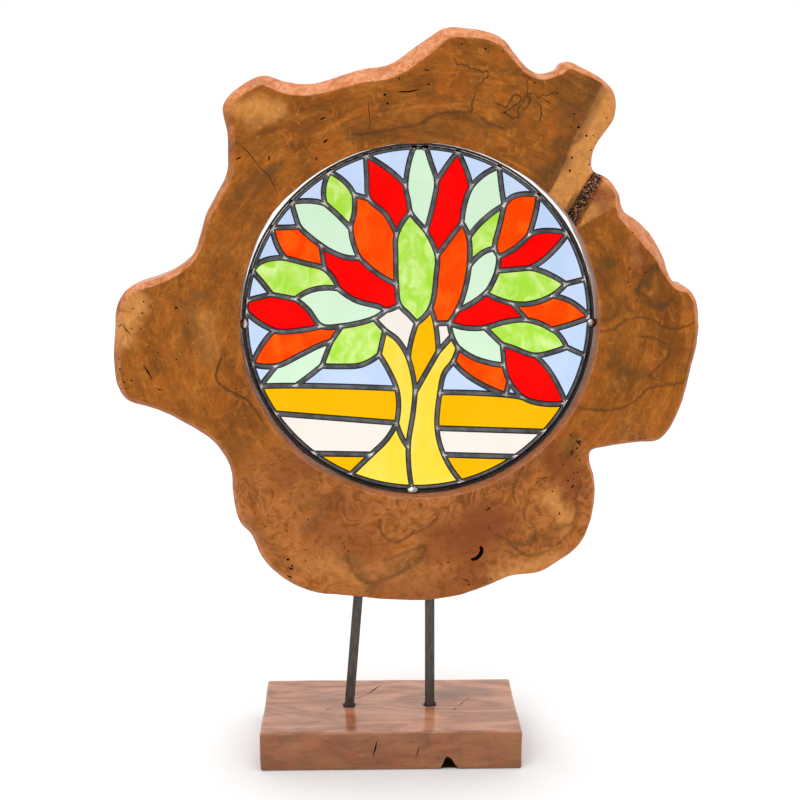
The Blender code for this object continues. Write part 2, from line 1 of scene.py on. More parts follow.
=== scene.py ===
"""Looks of the leaded-glass tree of life in its teak slab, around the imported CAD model.

Lengths are in millimetres and become metres when a mesh is made. Positions on the slab's front and in
the roundel are right (+X) and up (+Z) of the roundel's centre, as in the CAD source.
"""

import math

import bmesh
import bpy
import numpy as np
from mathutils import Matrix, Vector


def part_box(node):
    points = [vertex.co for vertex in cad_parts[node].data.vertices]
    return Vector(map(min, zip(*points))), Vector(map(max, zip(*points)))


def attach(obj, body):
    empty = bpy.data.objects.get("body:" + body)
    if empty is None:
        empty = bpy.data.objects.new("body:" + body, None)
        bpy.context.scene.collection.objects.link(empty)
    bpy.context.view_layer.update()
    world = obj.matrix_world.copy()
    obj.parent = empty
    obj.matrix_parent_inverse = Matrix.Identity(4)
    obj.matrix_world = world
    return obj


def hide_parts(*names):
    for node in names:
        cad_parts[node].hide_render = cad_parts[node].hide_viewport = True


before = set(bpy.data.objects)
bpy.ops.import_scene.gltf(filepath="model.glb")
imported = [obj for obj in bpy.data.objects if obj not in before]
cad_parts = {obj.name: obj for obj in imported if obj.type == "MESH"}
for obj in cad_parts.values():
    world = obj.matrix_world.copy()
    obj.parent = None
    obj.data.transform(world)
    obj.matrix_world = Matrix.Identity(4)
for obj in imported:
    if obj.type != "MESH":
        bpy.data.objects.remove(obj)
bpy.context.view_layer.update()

MM = 0.001


def middle_mm(node):
    low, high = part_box(node)
    return (low + high) / 2 / MM


def size_mm(node):
    low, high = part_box(node)
    return (high - low) / MM


CENTRE = middle_mm("hoop")
SLAB_HALF = size_mm("teak_slab").y / 2
BASE_SIZE = size_mm("base_block")

# Roundel
HOOP_RADIUS = size_mm("hoop").x / 2
RIM_LINE = 123.8
HEART_HALF = 0.6
GLASS_INSET = 0.9
GLASS_HALF = 1.4
CURVE_STEPS = 6
END_BEND = math.radians(35)  # most that an open end of a curve may bend
CORNER_TURN = math.radians(24)
# Section of a came: distance from its centre line, height above the glass's middle plane
CAME_SECTION = (
    (1.95, 1.5), (1.95, 1.65), (1.75, 1.95), (1.35, 2.25), (0.85, 2.44), (0.3, 2.5),
)

# Section of the rim came: radius, height above the glass's middle plane
RIM_SECTION = ((124.6, 1.9), (124.5, 2.2), (124.2, 2.42))

# The slab's outline, clockwise: right, up, width of the sloping edge
OUTLINE = (
    (-136, 151, 6), (-132, 159, 6), (-119, 169, 7), (-108, 173, 7), (-94, 169, 8), (-79, 167, 8),
    (-66, 169, 8), (-39, 177, 9), (-20, 181, 10), (3, 196, 10), (18, 205, 8), (33, 205, 7),
    (49, 202, 6), (59, 196, 5), (65, 188, 4), (76, 177, 4), (84, 174, 4), (96, 177, 4),
    (101, 182, 5), (113, 178, 4), (127, 170, 3), (135, 162, 4), (137, 154, 4), (135, 143, 3),
    (124, 126, 3), (121, 116, 3), (122, 108, 3), (132, 102, 3), (140, 92, 3), (144, 80, 6),
    (155, 72, 9), (166, 61, 10), (173, 48, 7), (178, 33, 3), (184, 27, 3), (191, 25, 3),
    (197, 16, 3), (199, 3, 3), (199, -12, 3), (194, -38, 3), (189, -59, 3), (181, -77, 3),
    (173, -85, 3), (157, -87, 3), (135, -90, 3), (125, -93, 3), (124, -100, 3), (127, -111, 2),
    (128, -126, 2), (125, -147, 2), (118, -162, 2), (104, -174, 2), (90, -183, 2), (66, -187, 2),
    (52, -193, 2), (30, -201, 2), (12, -204, 2), (-14, -204, 2), (-59, -200, 2), (-74, -198, 2),
    (-90, -193, 3), (-102, -185, 4), (-114, -172, 5), (-122, -155, 5), (-130, -145, 5),
    (-134, -127, 5), (-135, -107, 4), (-139, -96, 4), (-148, -84, 4), (-161, -75, 4),
    (-177, -66, 4), (-194, -59, 4), (-208, -54, 4), (-215, -44, 5), (-217, -27, 6), (-216, -4, 7),
    (-214, 13, 6), (-208, 23, 5), (-201, 27, 4), (-187, 32, 4), (-173, 38, 4), (-160, 49, 4),
    (-154, 61, 4), (-149, 77, 4), (-142, 91, 5), (-134, 106, 5), (-133, 120, 6), (-133, 134, 6),
)

RIM = {
    "R1": 91.5, "R2": 107.5, "R3": 120.5, "R4": 136.5, "R5": 147, "R6": 163, "R7": 173,
    "R8": 176.5, "R9": 194.5, "R10": 202.5, "R11": 213, "R12": 232, "R13": 246.5, "R14": 268,
    "R15": 285, "R16": 305.5, "R17": 318.5, "R18": 330.5, "R19": 348, "R20": 1, "R21": 14,
    "R22": 30.5, "R23": 46.5, "R24": 62.5, "R25": 77, "R26": 87.5,
}

MEET = {
    "a": (-9, 96.5), "b": (-5.5, 78), "c": (-15.5, 62), "d": (-35, 87.5), "e": (-45.5, 90.5),
    "f": (-48, 66.5), "g": (-66, 84), "h": (-42, 45.5), "i": (-69, 54.5), "j": (-66.5, 37.5),
    "k": (-84.5, 68), "l": (-94.5, 45.5), "m": (-105, 19.5), "n": (-88, 16), "o": (-57, 23.5),
    "p": (-23, 8), "q": (-13.5, 12), "r": (-15.5, 26.5), "s": (-69.5, -3.5), "t": (-55, -3.5),
    "u": (-31.5, 2), "v": (-24, -6.5), "w": (-28, -24.5), "x": (-69.5, -32.5), "y": (-62.5, -14.5),
    "z": (-102.5, -32.5), "aa": (-88.5, -47), "ab": (106, 26.5), "ac": (48.5, 20),
    "ad": (67.5, 12.5), "ae": (78.5, 0.5), "af": (96.5, 18), "ag": (48, -5), "ah": (96.5, -6.5),
    "ai": (107.5, -19.5), "aj": (84.5, -25.5), "ak": (61, -17.5), "al": (62.5, -32.5),
    "am": (29, -19.5), "an": (25.5, -29.5), "ao": (64, -54.5), "ap": (16, -52.5), "aq": (66.5, -44.5),
    "ar": (-103.5, -6.5), "as": (76.5, -56.5), "au": (14, -79), "av": (19, -99), "aw": (-34, -98.5),
    "bb": (-15.5, -49.5), "cc": (-15.5, -75), "dd": (-7, -93), "ee": (-2, -52),
    "ff": (-7, -27), "gg": (-1, -1.5), "hh": (9, 9.5), "ii": (12.5, -2), "jj": (14.5, -22.5),
    "kk": (24.5, -11), "ll": (22.5, -1.5), "mm": (28, 7.5), "nn": (31, 70.5), "oo": (13, 99.5),
    "pp": (5.5, 64.5), "qq": (13.5, 47), "rr": (37.5, 96), "ss": (36, 60), "tt": (61, 83),
    "uu": (54.5, 52), "vv": (36.5, 39.5), "ww": (57.5, 46), "xx": (79, 61.5), "yy": (56.5, 36),
    "zz": (79.5, 38),
}

CAMES = (
    ("R2", (-19, 106.5), "a"),
    ("R1", "a", (-7, 86), "b", (-1.5, 72.5), "pp", "qq", (13, 34), "hh", "gg"),
    ("b", "c", (-16, 47), "r", "q", (-7, 5), "gg"),
    ("R2", (-36.5, 103), "d", (-24, 77.5), "c"), ("e", (-51.5, 99), "R3"), ("e", "d"),
    ("R3", (-67, 94.5), "g"), ("e", (-45.5, 77.5), "f", "h"), ("R4", (-75.5, 86), "g"),
    ("g", (-56, 75), "f"), ("h", (-53.5, 46.5), "i"), ("i", (-77.5, 61), "k", (-87.5, 76.5), "R4"),
    ("R5", (-92, 67.5), "k"), ("i", (-68, 45.5), "j"), ("l", (-100, 53.5), "R5"),
    ("l", (-79.5, 41.5), "j", "o"), ("R6", (-112, 43), "l"), ("m", "n"),
    ("o", (-75, 23), "n"), ("m", (-111, 27.5), "R6"), ("h", (-29.5, 34.5), "r"),
    ("q", "p", (-28, 10.5), (-44.5, 15), "o"), ("p", (-26.5, 5), "u"),
    ("u", (-41, -1), "t", "s", (-79, 8.5), "n"), ("R7", (-112, 18), "m"),
    ("R8", "ar", (-89, -7), "s"), ("R9", (-111.5, -15.5), "ar"), ("t", "y"),
    ("y", (-72, -18), (-85, -24.5), "z", "R9"), ("z", "R10"), ("y", (-66.5, -24.5), "x"),
    ("x", (-79.5, -40.5), "aa"), ("R10", "aa", "bb"), ("w", (-41, -32), (-54, -33), "x"),
    ("v", (-26, -15.5), "w"), ("u", "v", (-15, -13.5), "ff"),
    ("w", (-21, -36.5), "bb", (-14, -60), "cc"), ("ff", (-3.5, -40), "ee"),
    ("ee", (-3.5, -68), "dd", "R14"), ("cc", (-23, -87.5), "aw", "R13"),
    ("cc", (-11.5, -86), "dd"), ("gg", (-5, -14.5), "ff"), ("R26", (9, 112.5), "oo", (11, 86), "pp"),
    ("R25", (20, 110.5), "oo"), ("R25", (33.5, 108.5), "rr"),
    ("rr", (33.5, 86), "nn"), ("R24", (47, 105), "rr"), ("R24", (59, 95), "tt"),
    ("qq", "nn"), ("nn", "ss", "vv", (32.5, 18.5), "mm", "ll"), ("ll", "ii"),
    ("ss", (45.5, 71.5), "tt"), ("tt", (68.5, 89.5), "R23"),
    ("tt", (58, 68.5), "uu", "ww", "yy", (53.5, 28), "ac", "mm"), ("vv", (46, 49), "uu"),
    ("R23", (83.5, 77.5), "xx"), ("ww", (69.5, 52.5), "xx"), ("xx", (87.5, 64.5), "R22"),
    ("yy", "zz"), ("zz", (90, 44), "R22"), ("zz", (89.5, 35.5), "ab"), ("ab", "R21"),
    ("ab", "af", (82, 12.5), "ad", "ac"), ("ad", "ae"), ("af", (110.5, 13.5), "R20"),
    ("ll", (33.5, -5), "ag", (62, -1), "ae", "ah"), ("ah", (108, -3.5), "R20"),
    ("ah", (101.5, -10), "ai"), ("ai", "R19"), ("ai", (99.5, -22.5), "aj", (69, -20), "ak"),
    ("ak", "ag"), ("ak", "al"), ("ll", "kk", "am"), ("am", (42.5, -28), "al"), ("jj", "kk"),
    ("an", (34, -38.5), (46, -46.5), "ao"),
    ("am", "an", (19, -38.5), "ap", "au", "av", "R15"), ("jj", (5.5, -38.5), "ee"),
    ("hh", "ii", "jj"), ("al", "aq", "as", (90, -61), "R18"), ("aj", (95.5, -37), "R18"),
    ("aq", "ao"), ("ap", "ao", "as"), ("cc", "R11"), ("aw", "R12"), ("au", "R17"),
    ("av", "R16"),
)

PANES = (
    ("leaf_centre", "lime", "b pp qq hh gg q r c"),
    ("leaf_top", "mint", "R1 a b pp oo R26"),
    ("leaf_upper_left_red", "red", "R2 d c b a"),
    ("leaf_upper_left_orange", "orange", "e d c r h f"),
    ("leaf_upper_left_lime", "lime", "R3 g f e"),
    ("leaf_left_mint", "mint", "R4 g f h i k"),
    ("leaf_left_orange", "orange", "R5 k i j l"),
    ("leaf_left_red", "red", "i h r q p o j"),
    ("leaf_left_lime", "lime", "R6 l j o n m"),
    ("leaf_lower_left_mint", "mint", "n o p u t s"),
    ("leaf_lower_left_red", "red", "R7 m n s ar R8"),
    ("leaf_lower_left_orange", "orange", "R9 ar s t y z"),
    ("leaf_bottom_left_mint", "mint", "z y x aa R10"),
    ("leaf_bottom_left_lime", "lime", "t u v w x y"),
    ("leaf_upper_right_red", "red", "R25 oo pp qq nn rr"),
    ("leaf_centre_right_orange", "orange", "nn qq hh ii ll mm vv ss"),
    ("leaf_upper_right_mint", "mint", "R24 rr nn ss tt"),
    ("leaf_right_lime", "lime", "tt ss vv uu"),
    ("leaf_right_mint", "mint", "uu vv mm ac yy ww"),
    ("leaf_upper_right_orange", "orange", "R23 tt uu ww xx"),
    ("leaf_right_red", "red", "R22 xx ww yy zz"),
    ("leaf_far_right_lime", "lime", "zz yy ac ad af ab"),
    ("leaf_lower_right_red", "red", "mm ac ad ae ag ll"),
    ("leaf_far_right_orange", "orange", "ad af R20 ah ae"),
    ("leaf_lower_right_lime", "lime", "ag ae ah ai aj ak"),
    ("leaf_lower_right_mint", "mint", "ll ag ak al am kk"),
    ("leaf_bottom_right_orange", "orange", "am al aq ao an"),
    ("leaf_bottom_right_red", "red", "ak aj R18 as aq al"),
    ("branch_gap_left", "cream", "u p q gg ff v"),
    ("branch_gap_right", "cream", "ii ll kk jj"),
    ("trunk_left", "yellow", "v ff ee dd cc bb w"),
    ("trunk_centre", "amber", "hh ii jj ee ff gg"),
    ("trunk_right", "yellow", "jj kk am an ap au av R15 R14 dd ee"),
    ("trunk_foot", "yellow", "cc dd R14 R13 aw"),
    ("ground_left_amber", "amber", "R10 aa bb cc R11"),
    ("ground_left_cream", "cream", "R11 cc aw R12"),
    ("ground_left_foot", "amber", "R12 aw R13"),
    ("ground_right_amber", "amber", "ap ao as R18 R17 au"),
    ("ground_right_cream", "cream", "au R17 R16 av"),
    ("ground_right_foot", "amber", "av R16 R15"),
    ("sky_left_horizon", "sky", "aa x w bb"),
    ("sky_right_horizon", "sky", "an ao ap"),
    ("sky_upper_left", "sky", "R3 e d R2"),
    ("sky_left", "sky", "R6 l R5"),
    ("sky_lower_left", "sky", "R9 ar R8"),
    ("sky_upper_right", "sky", "R24 tt R23"),
    ("sky_right", "sky", "R23 xx R22"),
    ("sky_far_right", "sky", "R22 zz ab R21"),
    ("sky_low_right", "sky", "R20 ah ai R19"),
    ("sky_lower_right", "sky", "R19 ai aj R18"),
)

# The nine smallest panes, which the CAD model closes with metal
RIM_PANES = (
    ("sky_rim_1", "sky", "R2 a R1"), ("sky_rim_2", "sky", "R4 g R3"),
    ("sky_rim_3", "sky", "R5 k R4"), ("sky_rim_4", "sky", "R7 m R6"),
    ("sky_rim_5", "sky", "R10 z R9"), ("sky_rim_6", "sky", "R26 oo R25"),
    ("sky_rim_7", "sky", "R25 rr R24"), ("sky_rim_8", "sky", "R21 ab af R20"),
    ("sky_low_tip", "sky", "aq as ao"),
)

# Slab
SLAB_STEPS = 12
FACE_ROWS = 50
EDGE_ROWS = 9
SIDE_ROWS = 9
BACK_ROWS = 12
WALL_ROWS = 9
FRONT_ROUNDING = 0.6  # at the window's front edge
BACK_ROUNDING = 0.8  # at its back edge
BACK_CHAMFER = 4
BACK_EDGE = ((0.06, -2.2), (0.16, -0.8), (0.3, 0))  # share of the edge's width, depth past the back
EDGE_FALL = 1.4  # how far the live edge falls back, for each millimetre of its width
WALL_ENDS = BACK_ROUNDING + FRONT_ROUNDING
RING_REACH = 45  # radius of the cylinder on which the noise of the grain is read
RIGHT_FACET = ((92, 97), (126, 168))
FOLD_LEFT = ((112, 68), (136, 82))
FOLD_RIGHT = ((136, 82), (146, 78))
CREVICE = ((106, 79), (123, 108))

# The hand-cut window: degrees, clearance round the hoop
WINDOW = (
    (0, 1.9), (20, 2.4), (34, 3.4), (48, 2.2), (60, 0.8), (90, 0.6), (110, 1.0), (125, 1.5),
    (143, 2.7), (160, 1.2), (180, 0.7), (205, 1.0), (228, 1.8), (250, 0.9), (270, 0.8),
    (300, 0.8), (330, 1.3),
)
UNDERCUT = (math.radians(-133), math.radians(13), 7.5)  # behind the hoop: direction, half width, depth
LEFT_FACET_TOP = ((-176, 30), (-191, 3))
LEFT_FACET_SIDE = ((-191, 3), (-210, -22))

# Thin dark lines in the wood: half width, then points
LINES = (
    (0.5, (24, 184), (26, 180), (29, 181), (31, 179), (33, 180), (35, 177), (37, 178), (39, 176),
     (41, 177), (43, 175), (45, 176), (47, 175), (47, 172), (44, 171), (44, 169), (39, 166),
     (38, 163), (38, 158), (36, 154), (36, 150), (34, 148)),
    (0.9, (-45, 133), (-33, 134), (-21, 136), (-11, 138), (0, 140), (6, 144), (13, 147), (23, 148),
     (34, 148), (41, 146), (48, 140), (53, 139), (58, 137)),
    (0.5, (53, 154), (57, 153), (59, 151), (62, 154), (64, 159), (67, 160), (70, 158), (68, 154),
     (64, 152), (60, 149), (57, 148)),
    (0.5, (57, 148), (62, 146), (64, 144), (69, 145), (68, 150), (71, 154), (73, 159), (76, 157),
     (75, 153), (72, 150)),
    (0.4, (76, 172), (74, 168), (75, 164), (74, 160), (79, 161), (82, 158), (85, 160), (88, 159),
     (91, 161), (95, 161)),
    (0.5, (83, 153), (84, 148), (83, 142)),
    (0.7, (-140, -24), (-144, -34), (-143, -40), (-136, -46), (-128, -50), (-121, -55),
     (-116, -62), (-112, -68)),
    (0.9, (75, -104), (73, -110), (69, -118), (69, -127)),
    (1.1, (57, -155), (67, -160), (74, -168), (85, -170), (98, -164), (110, -153), (114, -148)),
    (1.1, (79, -130), (77, -142), (85, -149), (83, -161), (70, -160)),
    (1.0, (117, -118), (114, -126), (115, -136), (112, -145)),
    (0.9, (-28, -143), (-26, -154), (-17, -160), (-6, -154), (8, -147), (14, -139)),
    (1.3, (-52, -169), (-46, -184), (-35, -190), (-17, -184), (1, -173), (5, -162), (-6, -166),
     (-24, -173)),
    (1.6, (127, 47), (126, 39), (132, 29), (135, 22), (140, 17), (141, 10), (138, 5), (128, 3)),
    (1.3, (146, 18), (147, 12), (152, 9), (159, 12), (163, 18), (154, 22), (156, 29), (165, 41),
     (171, 44)),
    (1.8, (156, 22), (161, 15), (168, 12), (175, 15), (178, 17)),
    (0.9, (127, -5), (139, -3), (147, 3), (157, 5), (166, 3), (174, -2), (184, -3), (193, 0)),
    (0.9, (156, -9), (167, -10), (178, -16), (178, -22), (172, -30), (165, -37), (169, -40)),
    (0.9, (114, -60), (135, -62), (149, -59), (158, -53), (163, -47), (175, -44), (189, -42),
     (194, -36)),
)

# Stains in the wood: from, to, reach, strength
DARK_STAINS = (
    (121, 166, 88, 100, 11, 0.8), (104, 170, 98, 150, 12, 0.5), (-20, 137, 23, 147, 5, 0.4),
    (23, 147, 58, 137, 6, 0.45), (-133, 82, -97, 112, 7, 0.4), (-98, 113, -109, 106, 5, 0.6),
    (-114, 100, -125, 94, 6, 0.45), (-127, 128, -129, 124, 5, 0.5), (-160, 18, -163, -8, 6, 0.5),
    (-45, 136, -30, 133, 8, 0.5), (64, 144, 76, 157, 9, 0.4), (133, 44, 134, 30, 9, 0.55),
    (172, 43, 155, 25, 4, 0.8), (-80, -147, -67, -139, 8, 0.45), (-46, -171, -33, -193, 9, 0.4),
    (-134, -100, -126, -84, 8, 0.4), (-12, 168, 6, 160, 6, 0.3), (110, 89, 104, 80, 5, 0.9),
    (-24, 157, -22, 150, 4, 0.5), (140, 8, 146, -44, 8, 0.3), (60, -118, 76, -108, 8, 0.4),
    (66, -166, 105, -150, 6, 0.45), (86, 108, 80, 118, 8, 0.3), (-107, 76, -122, 60, 6, 0.35),
    (137, -30, 165, -38, 6, 0.5), (134, 44, 126, 38, 8, 0.5), (156, 20, 172, 14, 7, 0.5),
    (146, 16, 128, 4, 8, 0.35), (-20, 131, 45, 136, 8, 0.3), (-52, -172, -40, -186, 9, 0.4),
    (-20, -182, 4, -168, 8, 0.4), (-86, -128, -60, -126, 10, 0.4), (112, -82, 108, -94, 5, 0.6),
    (-122, -146, -92, -180, 8, 0.35), (-128, 40, -138, 60, 8, 0.3), (-118, 120, -104, 128, 7, 0.3),
)
RED_STAINS = (
    (17, -159, 58, -146, 20, 0.9), (40, -178, 46, -141, 18, 0.7), (100, -98, 113, -118, 14, 0.8),
    (-20, -196, 40, -198, 18, 0.5), (-100, -112, -80, -100, 16, 0.6), (-70, -150, -30, -165, 20, 0.5),
    (118, 92, 132, 88, 8, 0.9), (150, 56, 158, 36, 9, 0.7), (-60, -130, -40, -135, 14, 0.4),
)
PALE_STAINS = (
    (-126, 153, -96, 151, 9, 0.7), (-118, 143, -104, 146, 8, 0.5), (98, -129, 106, -141, 12, 0.7),
    (60, -185, 100, -176, 12, 0.6), (-200, 18, -212, -8, 12, 0.8), (150, 60, 156, 42, 6, 0.5),
    (131, 158, 104, 92, 12, 0.7), (-150, -20, -150, 5, 12, 0.3), (-80, -175, 0, -190, 16, 0.3),
)
# Worm holes: right, up, radius, depth
HOLES = (
    (161, 50, 1.2, 3), (150, 65, 0.6, 2), (158, 41, 0.5, 2), (159, 37, 0.6, 2), (149, 40, 0.7, 2),
    (151, 34, 0.6, 2), (146, 31, 0.5, 2), (149, 27, 0.6, 2), (154, 17, 0.6, 2), (167, 53, 0.6, 2),
    (-109, -139, 0.7, 2), (-80, -142, 0.8, 2), (-57, -156, 0.6, 2), (-55, -160, 0.6, 2),
    (-95, -172, 1.4, 3), (-92, -177, 1.1, 3), (-83, -165, 0.6, 2), (52, -150, 0.6, 2),
    (57, -154, 0.7, 2), (102, -139, 0.7, 2), (111, -119, 0.9, 2), (112, -113, 0.6, 2),
    (86, -115, 0.6, 2), (51, -135, 0.6, 2), (30, -146, 0.6, 2), (21, -175, 0.6, 2),
    (116, -85, 1.2, 3), (111, -92, 0.9, 3), (109, -80, 0.7, 2), (102, -95, 0.7, 2),
    (29, 194, 0.8, 3), (45, 191, 0.9, 3), (57, 189, 0.7, 3), (79, 168, 0.9, 4), (95, 161, 0.7, 3),
    (110, 163, 0.6, 2), (107, 147, 0.8, 3), (105, 138, 0.7, 3), (110, 138, 1.1, 5),
    (116, 132, 1.0, 5), (121, 132, 0.7, 4), (130, 144, 0.7, 4), (120, 122, 0.8, 4),
    (119, 112, 0.8, 4), (106, 117, 1.0, 5), (105, 108, 1.0, 5), (10, 197, 0.7, 3),
    (59, 148, 0.8, 3), (6, 167, 0.9, 3), (7, 196, 1.0, 3), (-14, 171, 0.8, 3), (7, 167, 0.7, 3),
    (-36, 176, 1.1, 3), (-22, 154, 1.0, 4), (-24, 160, 1.2, 4), (-2, 160, 0.6, 2),
    (-100, 169, 0.7, 3), (-194, 17, 0.8, 4), (-202, 12, 0.7, 4), (-195, 9, 0.8, 4),
    (-198, 6, 0.6, 4), (-196, -2, 0.7, 4), (-203, -2, 0.6, 4), (-213, -24, 0.7, 4),
    (-212, -31, 0.8, 4), (-214, -36, 0.7, 4), (-209, -40, 0.9, 4), (-204, -39, 0.9, 4),
    (-211, -45, 0.7, 4), (-208, -45, 0.7, 4), (-191, -15, 0.8, 3), (-185, -19, 0.7, 3),
    (-172, -24, 0.8, 3), (-171, 13, 1.2, 3), (-163, 2, 0.7, 2), (-157, -20, 0.7, 2),
    (-130, -45, 0.8, 2), (114, -90, 1.0, 4), (116, -99, 0.8, 4), (112, -108, 0.7, 3),
    (115, -108, 0.7, 3), (108, -114, 0.9, 3), (112, -118, 1.0, 4), (104, -102, 0.7, 3),
    (97, -122, 0.8, 3), (93, -111, 0.6, 2), (49, -136, 0.7, 2), (51, -149, 0.7, 3),
    (57, -154, 0.9, 3), (37, -192, 0.9, 3), (53, -188, 0.8, 3), (22, -175, 0.7, 3),
    (161, 50, 1.2, 4), (160, 61, 0.8, 3), (163, 57, 0.7, 3), (168, 51, 0.8, 3),
    (157, 40, 0.6, 3), (160, 37, 0.6, 3), (148, 39, 0.7, 2), (147, 30, 0.6, 2),
    (-111, -147, 0.8, 3), (-82, -173, 0.7, 3), (-54, -163, 0.8, 3), (-51, -166, 0.7, 3),
    (-75, -158, 0.7, 3), (110, -81, 0.7, 3),
)

# Open cracks: width, depth, then points
CRACKS = (
    (1.0, 3, (-16, 162), (-13, 162), (-7, 162), (-3, 163), (1, 164)),
    (1.3, 3, (-69, 143), (-64, 145)), (1.6, 3, (-67, 127), (-63, 130)),
    (1.2, 2, (-127, 116), (-123, 118)), (1.2, 2, (-104, 119), (-104, 115)),
    (1.2, 2, (-72, 115), (-71, 118)), (1.0, 3, (3, 177), (7, 176)), (0.9, 2, (4, 196), (8, 197)),
    (0.7, 2, (85, 157), (91, 154)), (0.45, 1.5, (-35, 156), (-35, 150), (-34, 142), (-35, 133)),
    (0.45, 1.5, (-127, 129), (-119, 122), (-111, 111), (-104, 105), (-101, 98), (-97, 89)),
    (1.2, 4, (-195, -28), (-192, -33), (-189, -39)), (0.8, 3, (-213, -2), (-210, 1)),
    (1.0, 3, (-210, 1), (-207, -3), (-203, -7)), (1.0, 2, (-186, -45), (-183, -46)),
    (0.8, 2, (102, -137), (103, -140)), (0.9, 3, (31, -187), (36, -189), (38, -191)),
    (1.6, 5, (113, -84), (117, -88)), (1.4, 4, (109, -92), (111, -94), (109, -96)),
    (1.0, 3, (52, -133), (49, -136)), (1.6, 4, (-95, -178), (-91, -180)),
    (1.3, 4, (-96, -184), (-92, -186)), (0.9, 2, (89, -113), (93, -111)),
    (0.8, 2, (-121, -154), (-116, -160)), (0.8, 2, (-97, -149), (-94, -152)),
)
CRESCENT = (
    (45.5, -162), (47.5, -164), (47.8, -167.5), (46, -171), (42.5, -174), (39, -174.5),
    (37.5, -172.5), (41, -171.5), (43.5, -169), (44.8, -166), (44.3, -163.5),
)
CRESCENT_DEPTH = 9

JOINT_SPOKES, JOINT_STEPS = 40, 5
JOINT_FOOT = 1.45  # height of a solder joint's rim
ARM_SPREAD = 0.42  # how far round a came a joint's arm reaches, in radians
# Solder lumps at the pins: name, degrees round the rim, distance from the centre, half sizes
LUMPS = (
    ("solder_lump_top_left", 91.4, 122.8, 2.0, 1.6), ("solder_lump_top_right", 88.0, 122.8, 2.7, 1.6),
    ("solder_lump_left", 180.6, 124.6, 4.2, 3.0), ("solder_lump_right", -0.6, 124.8, 3.8, 3.6),
    ("solder_lump_bottom", 268.3, 125.6, 4.4, 3.8),
)


# ---------------------------------------------------------------- curves


def bent_end(points):
    """A point before the first one, where the bend of the first two spans carries on."""
    step = points[1] - points[0]
    if len(points) < 3:
        return points[0] - step
    turn = step.angle_signed(points[2] - points[1])
    turn = max(-END_BEND, min(END_BEND, turn))
    back = Vector((math.cos(turn) * step.x - math.sin(turn) * step.y,
                   math.sin(turn) * step.x + math.cos(turn) * step.y))
    return points[0] - back


def smooth(points, closed, steps):
    """A centripetal Catmull-Rom curve through the points."""
    if closed:
        around = [points[-1], *points, points[0], points[1]]
    else:
        around = [bent_end(points), *points, bent_end(points[::-1])]
    curve = []
    for before, start, end, after in zip(around, around[1:], around[2:], around[3:]):
        knots = [0.0]
        for near, far in ((before, start), (start, end), (end, after)):
            knots.append(knots[-1] + max((far - near).length, 1e-6) ** 0.5)
        for step in range(steps):
            at = knots[1] + (knots[2] - knots[1]) * step / steps
            level = [before, start, end, after]
            for order in (1, 2):
                spans = zip(level, level[1:], knots, knots[order:])
                level = [p.lerp(q, (at - low) / (high - low)) for p, q, low, high in spans]
            share = (at - knots[1]) / (knots[2] - knots[1])
            curve.append(level[0].lerp(level[1], share))
    if not closed:
        curve.append(points[-1].copy())
    return curve


def place(name):
    if name in RIM:
        angle = math.radians(RIM[name])
        return RIM_LINE * Vector((math.cos(angle), math.sin(angle)))
    return Vector(MEET[name])


def came_edges():
    """The curve between each two neighbouring meeting points, both ways."""
    edges = {}
    for stroke in CAMES:
        points = [place(p) if isinstance(p, str) else Vector(p) for p in stroke]
        curve = smooth(points, closed=False, steps=CURVE_STEPS)
        named = [i for i, p in enumerate(stroke) if isinstance(p, str)]
        for first, last in zip(named, named[1:]):
            part = curve[first * CURVE_STEPS : last * CURVE_STEPS + 1]
            edges[stroke[first], stroke[last]] = part
            edges[stroke[last], stroke[first]] = part[::-1]
    return edges


def rim_edge(first, last):
    turn = (RIM[last] - RIM[first] + 180) % 360 - 180
    steps = max(3, round(abs(turn)))
    angles = [math.radians(RIM[first] + turn * i / steps) for i in range(steps + 1)]
    return [RIM_LINE * Vector((math.cos(a), math.sin(a))) for a in angles]


def sides_of(names, edges):
    """A pane's smooth sides, anticlockwise."""
    loop = []
    for first, last in zip(names, names[1:] + names[:1]):
        on_rim = first in RIM and last in RIM
        curve = rim_edge(first, last) if on_rim else edges[first, last]
        loop += curve[:-1]
    if sum(p.cross(q) for p, q in zip(loop, loop[1:] + loop[:1])) < 0:
        loop.reverse()
    corners = []
    for i, point in enumerate(loop):
        after = loop[(i + 1) % len(loop)] - point
        if abs((point - loop[i - 1]).angle_signed(after)) > CORNER_TURN:
            corners.append(i)
    turn = corners[0]
    loop = loop[turn:] + loop[: turn + 1]
    cuts = [i - turn for i in corners] + [len(loop) - 1]
    return [loop[start : end + 1] for start, end in zip(cuts, cuts[1:])]


def shifted(side, distance):
    moved = []
    for i, point in enumerate(side):
        along = side[min(i + 1, len(side) - 1)] - side[max(i - 1, 0)]
        along.normalize()
        moved.append(point + distance * Vector((-along.y, along.x)))
    reach = 4 * distance
    start = moved[0] - reach * (moved[1] - moved[0]).normalized()
    end = moved[-1] + reach * (moved[-1] - moved[-2]).normalized()
    return [start, *moved, end]


def crossing(first, second):
    """Where one curve's end crosses the next one's start, as positions along both."""
    for reach in range(len(first) + len(second)):
        for i in range(min(reach, len(first) - 2) + 1):
            j = reach - i
            if j > len(second) - 2:
                continue
            a, b = first[-2 - i], first[-1 - i]
            c, d = second[j], second[j + 1]
            scale = (b - a).cross(d - c)
            if abs(scale) < 1e-9:
                continue
            s = (c - a).cross(d - c) / scale
            t = (c - a).cross(b - a) / scale
            if 0 <= s <= 1 and 0 <= t <= 1:
                return len(first) - 2 - i + s, j + t
    raise ValueError("two sides of a pane do not meet")


def at_position(curve, position):
    index = min(int(position), len(curve) - 2)
    return curve[index].lerp(curve[index + 1], position - index)


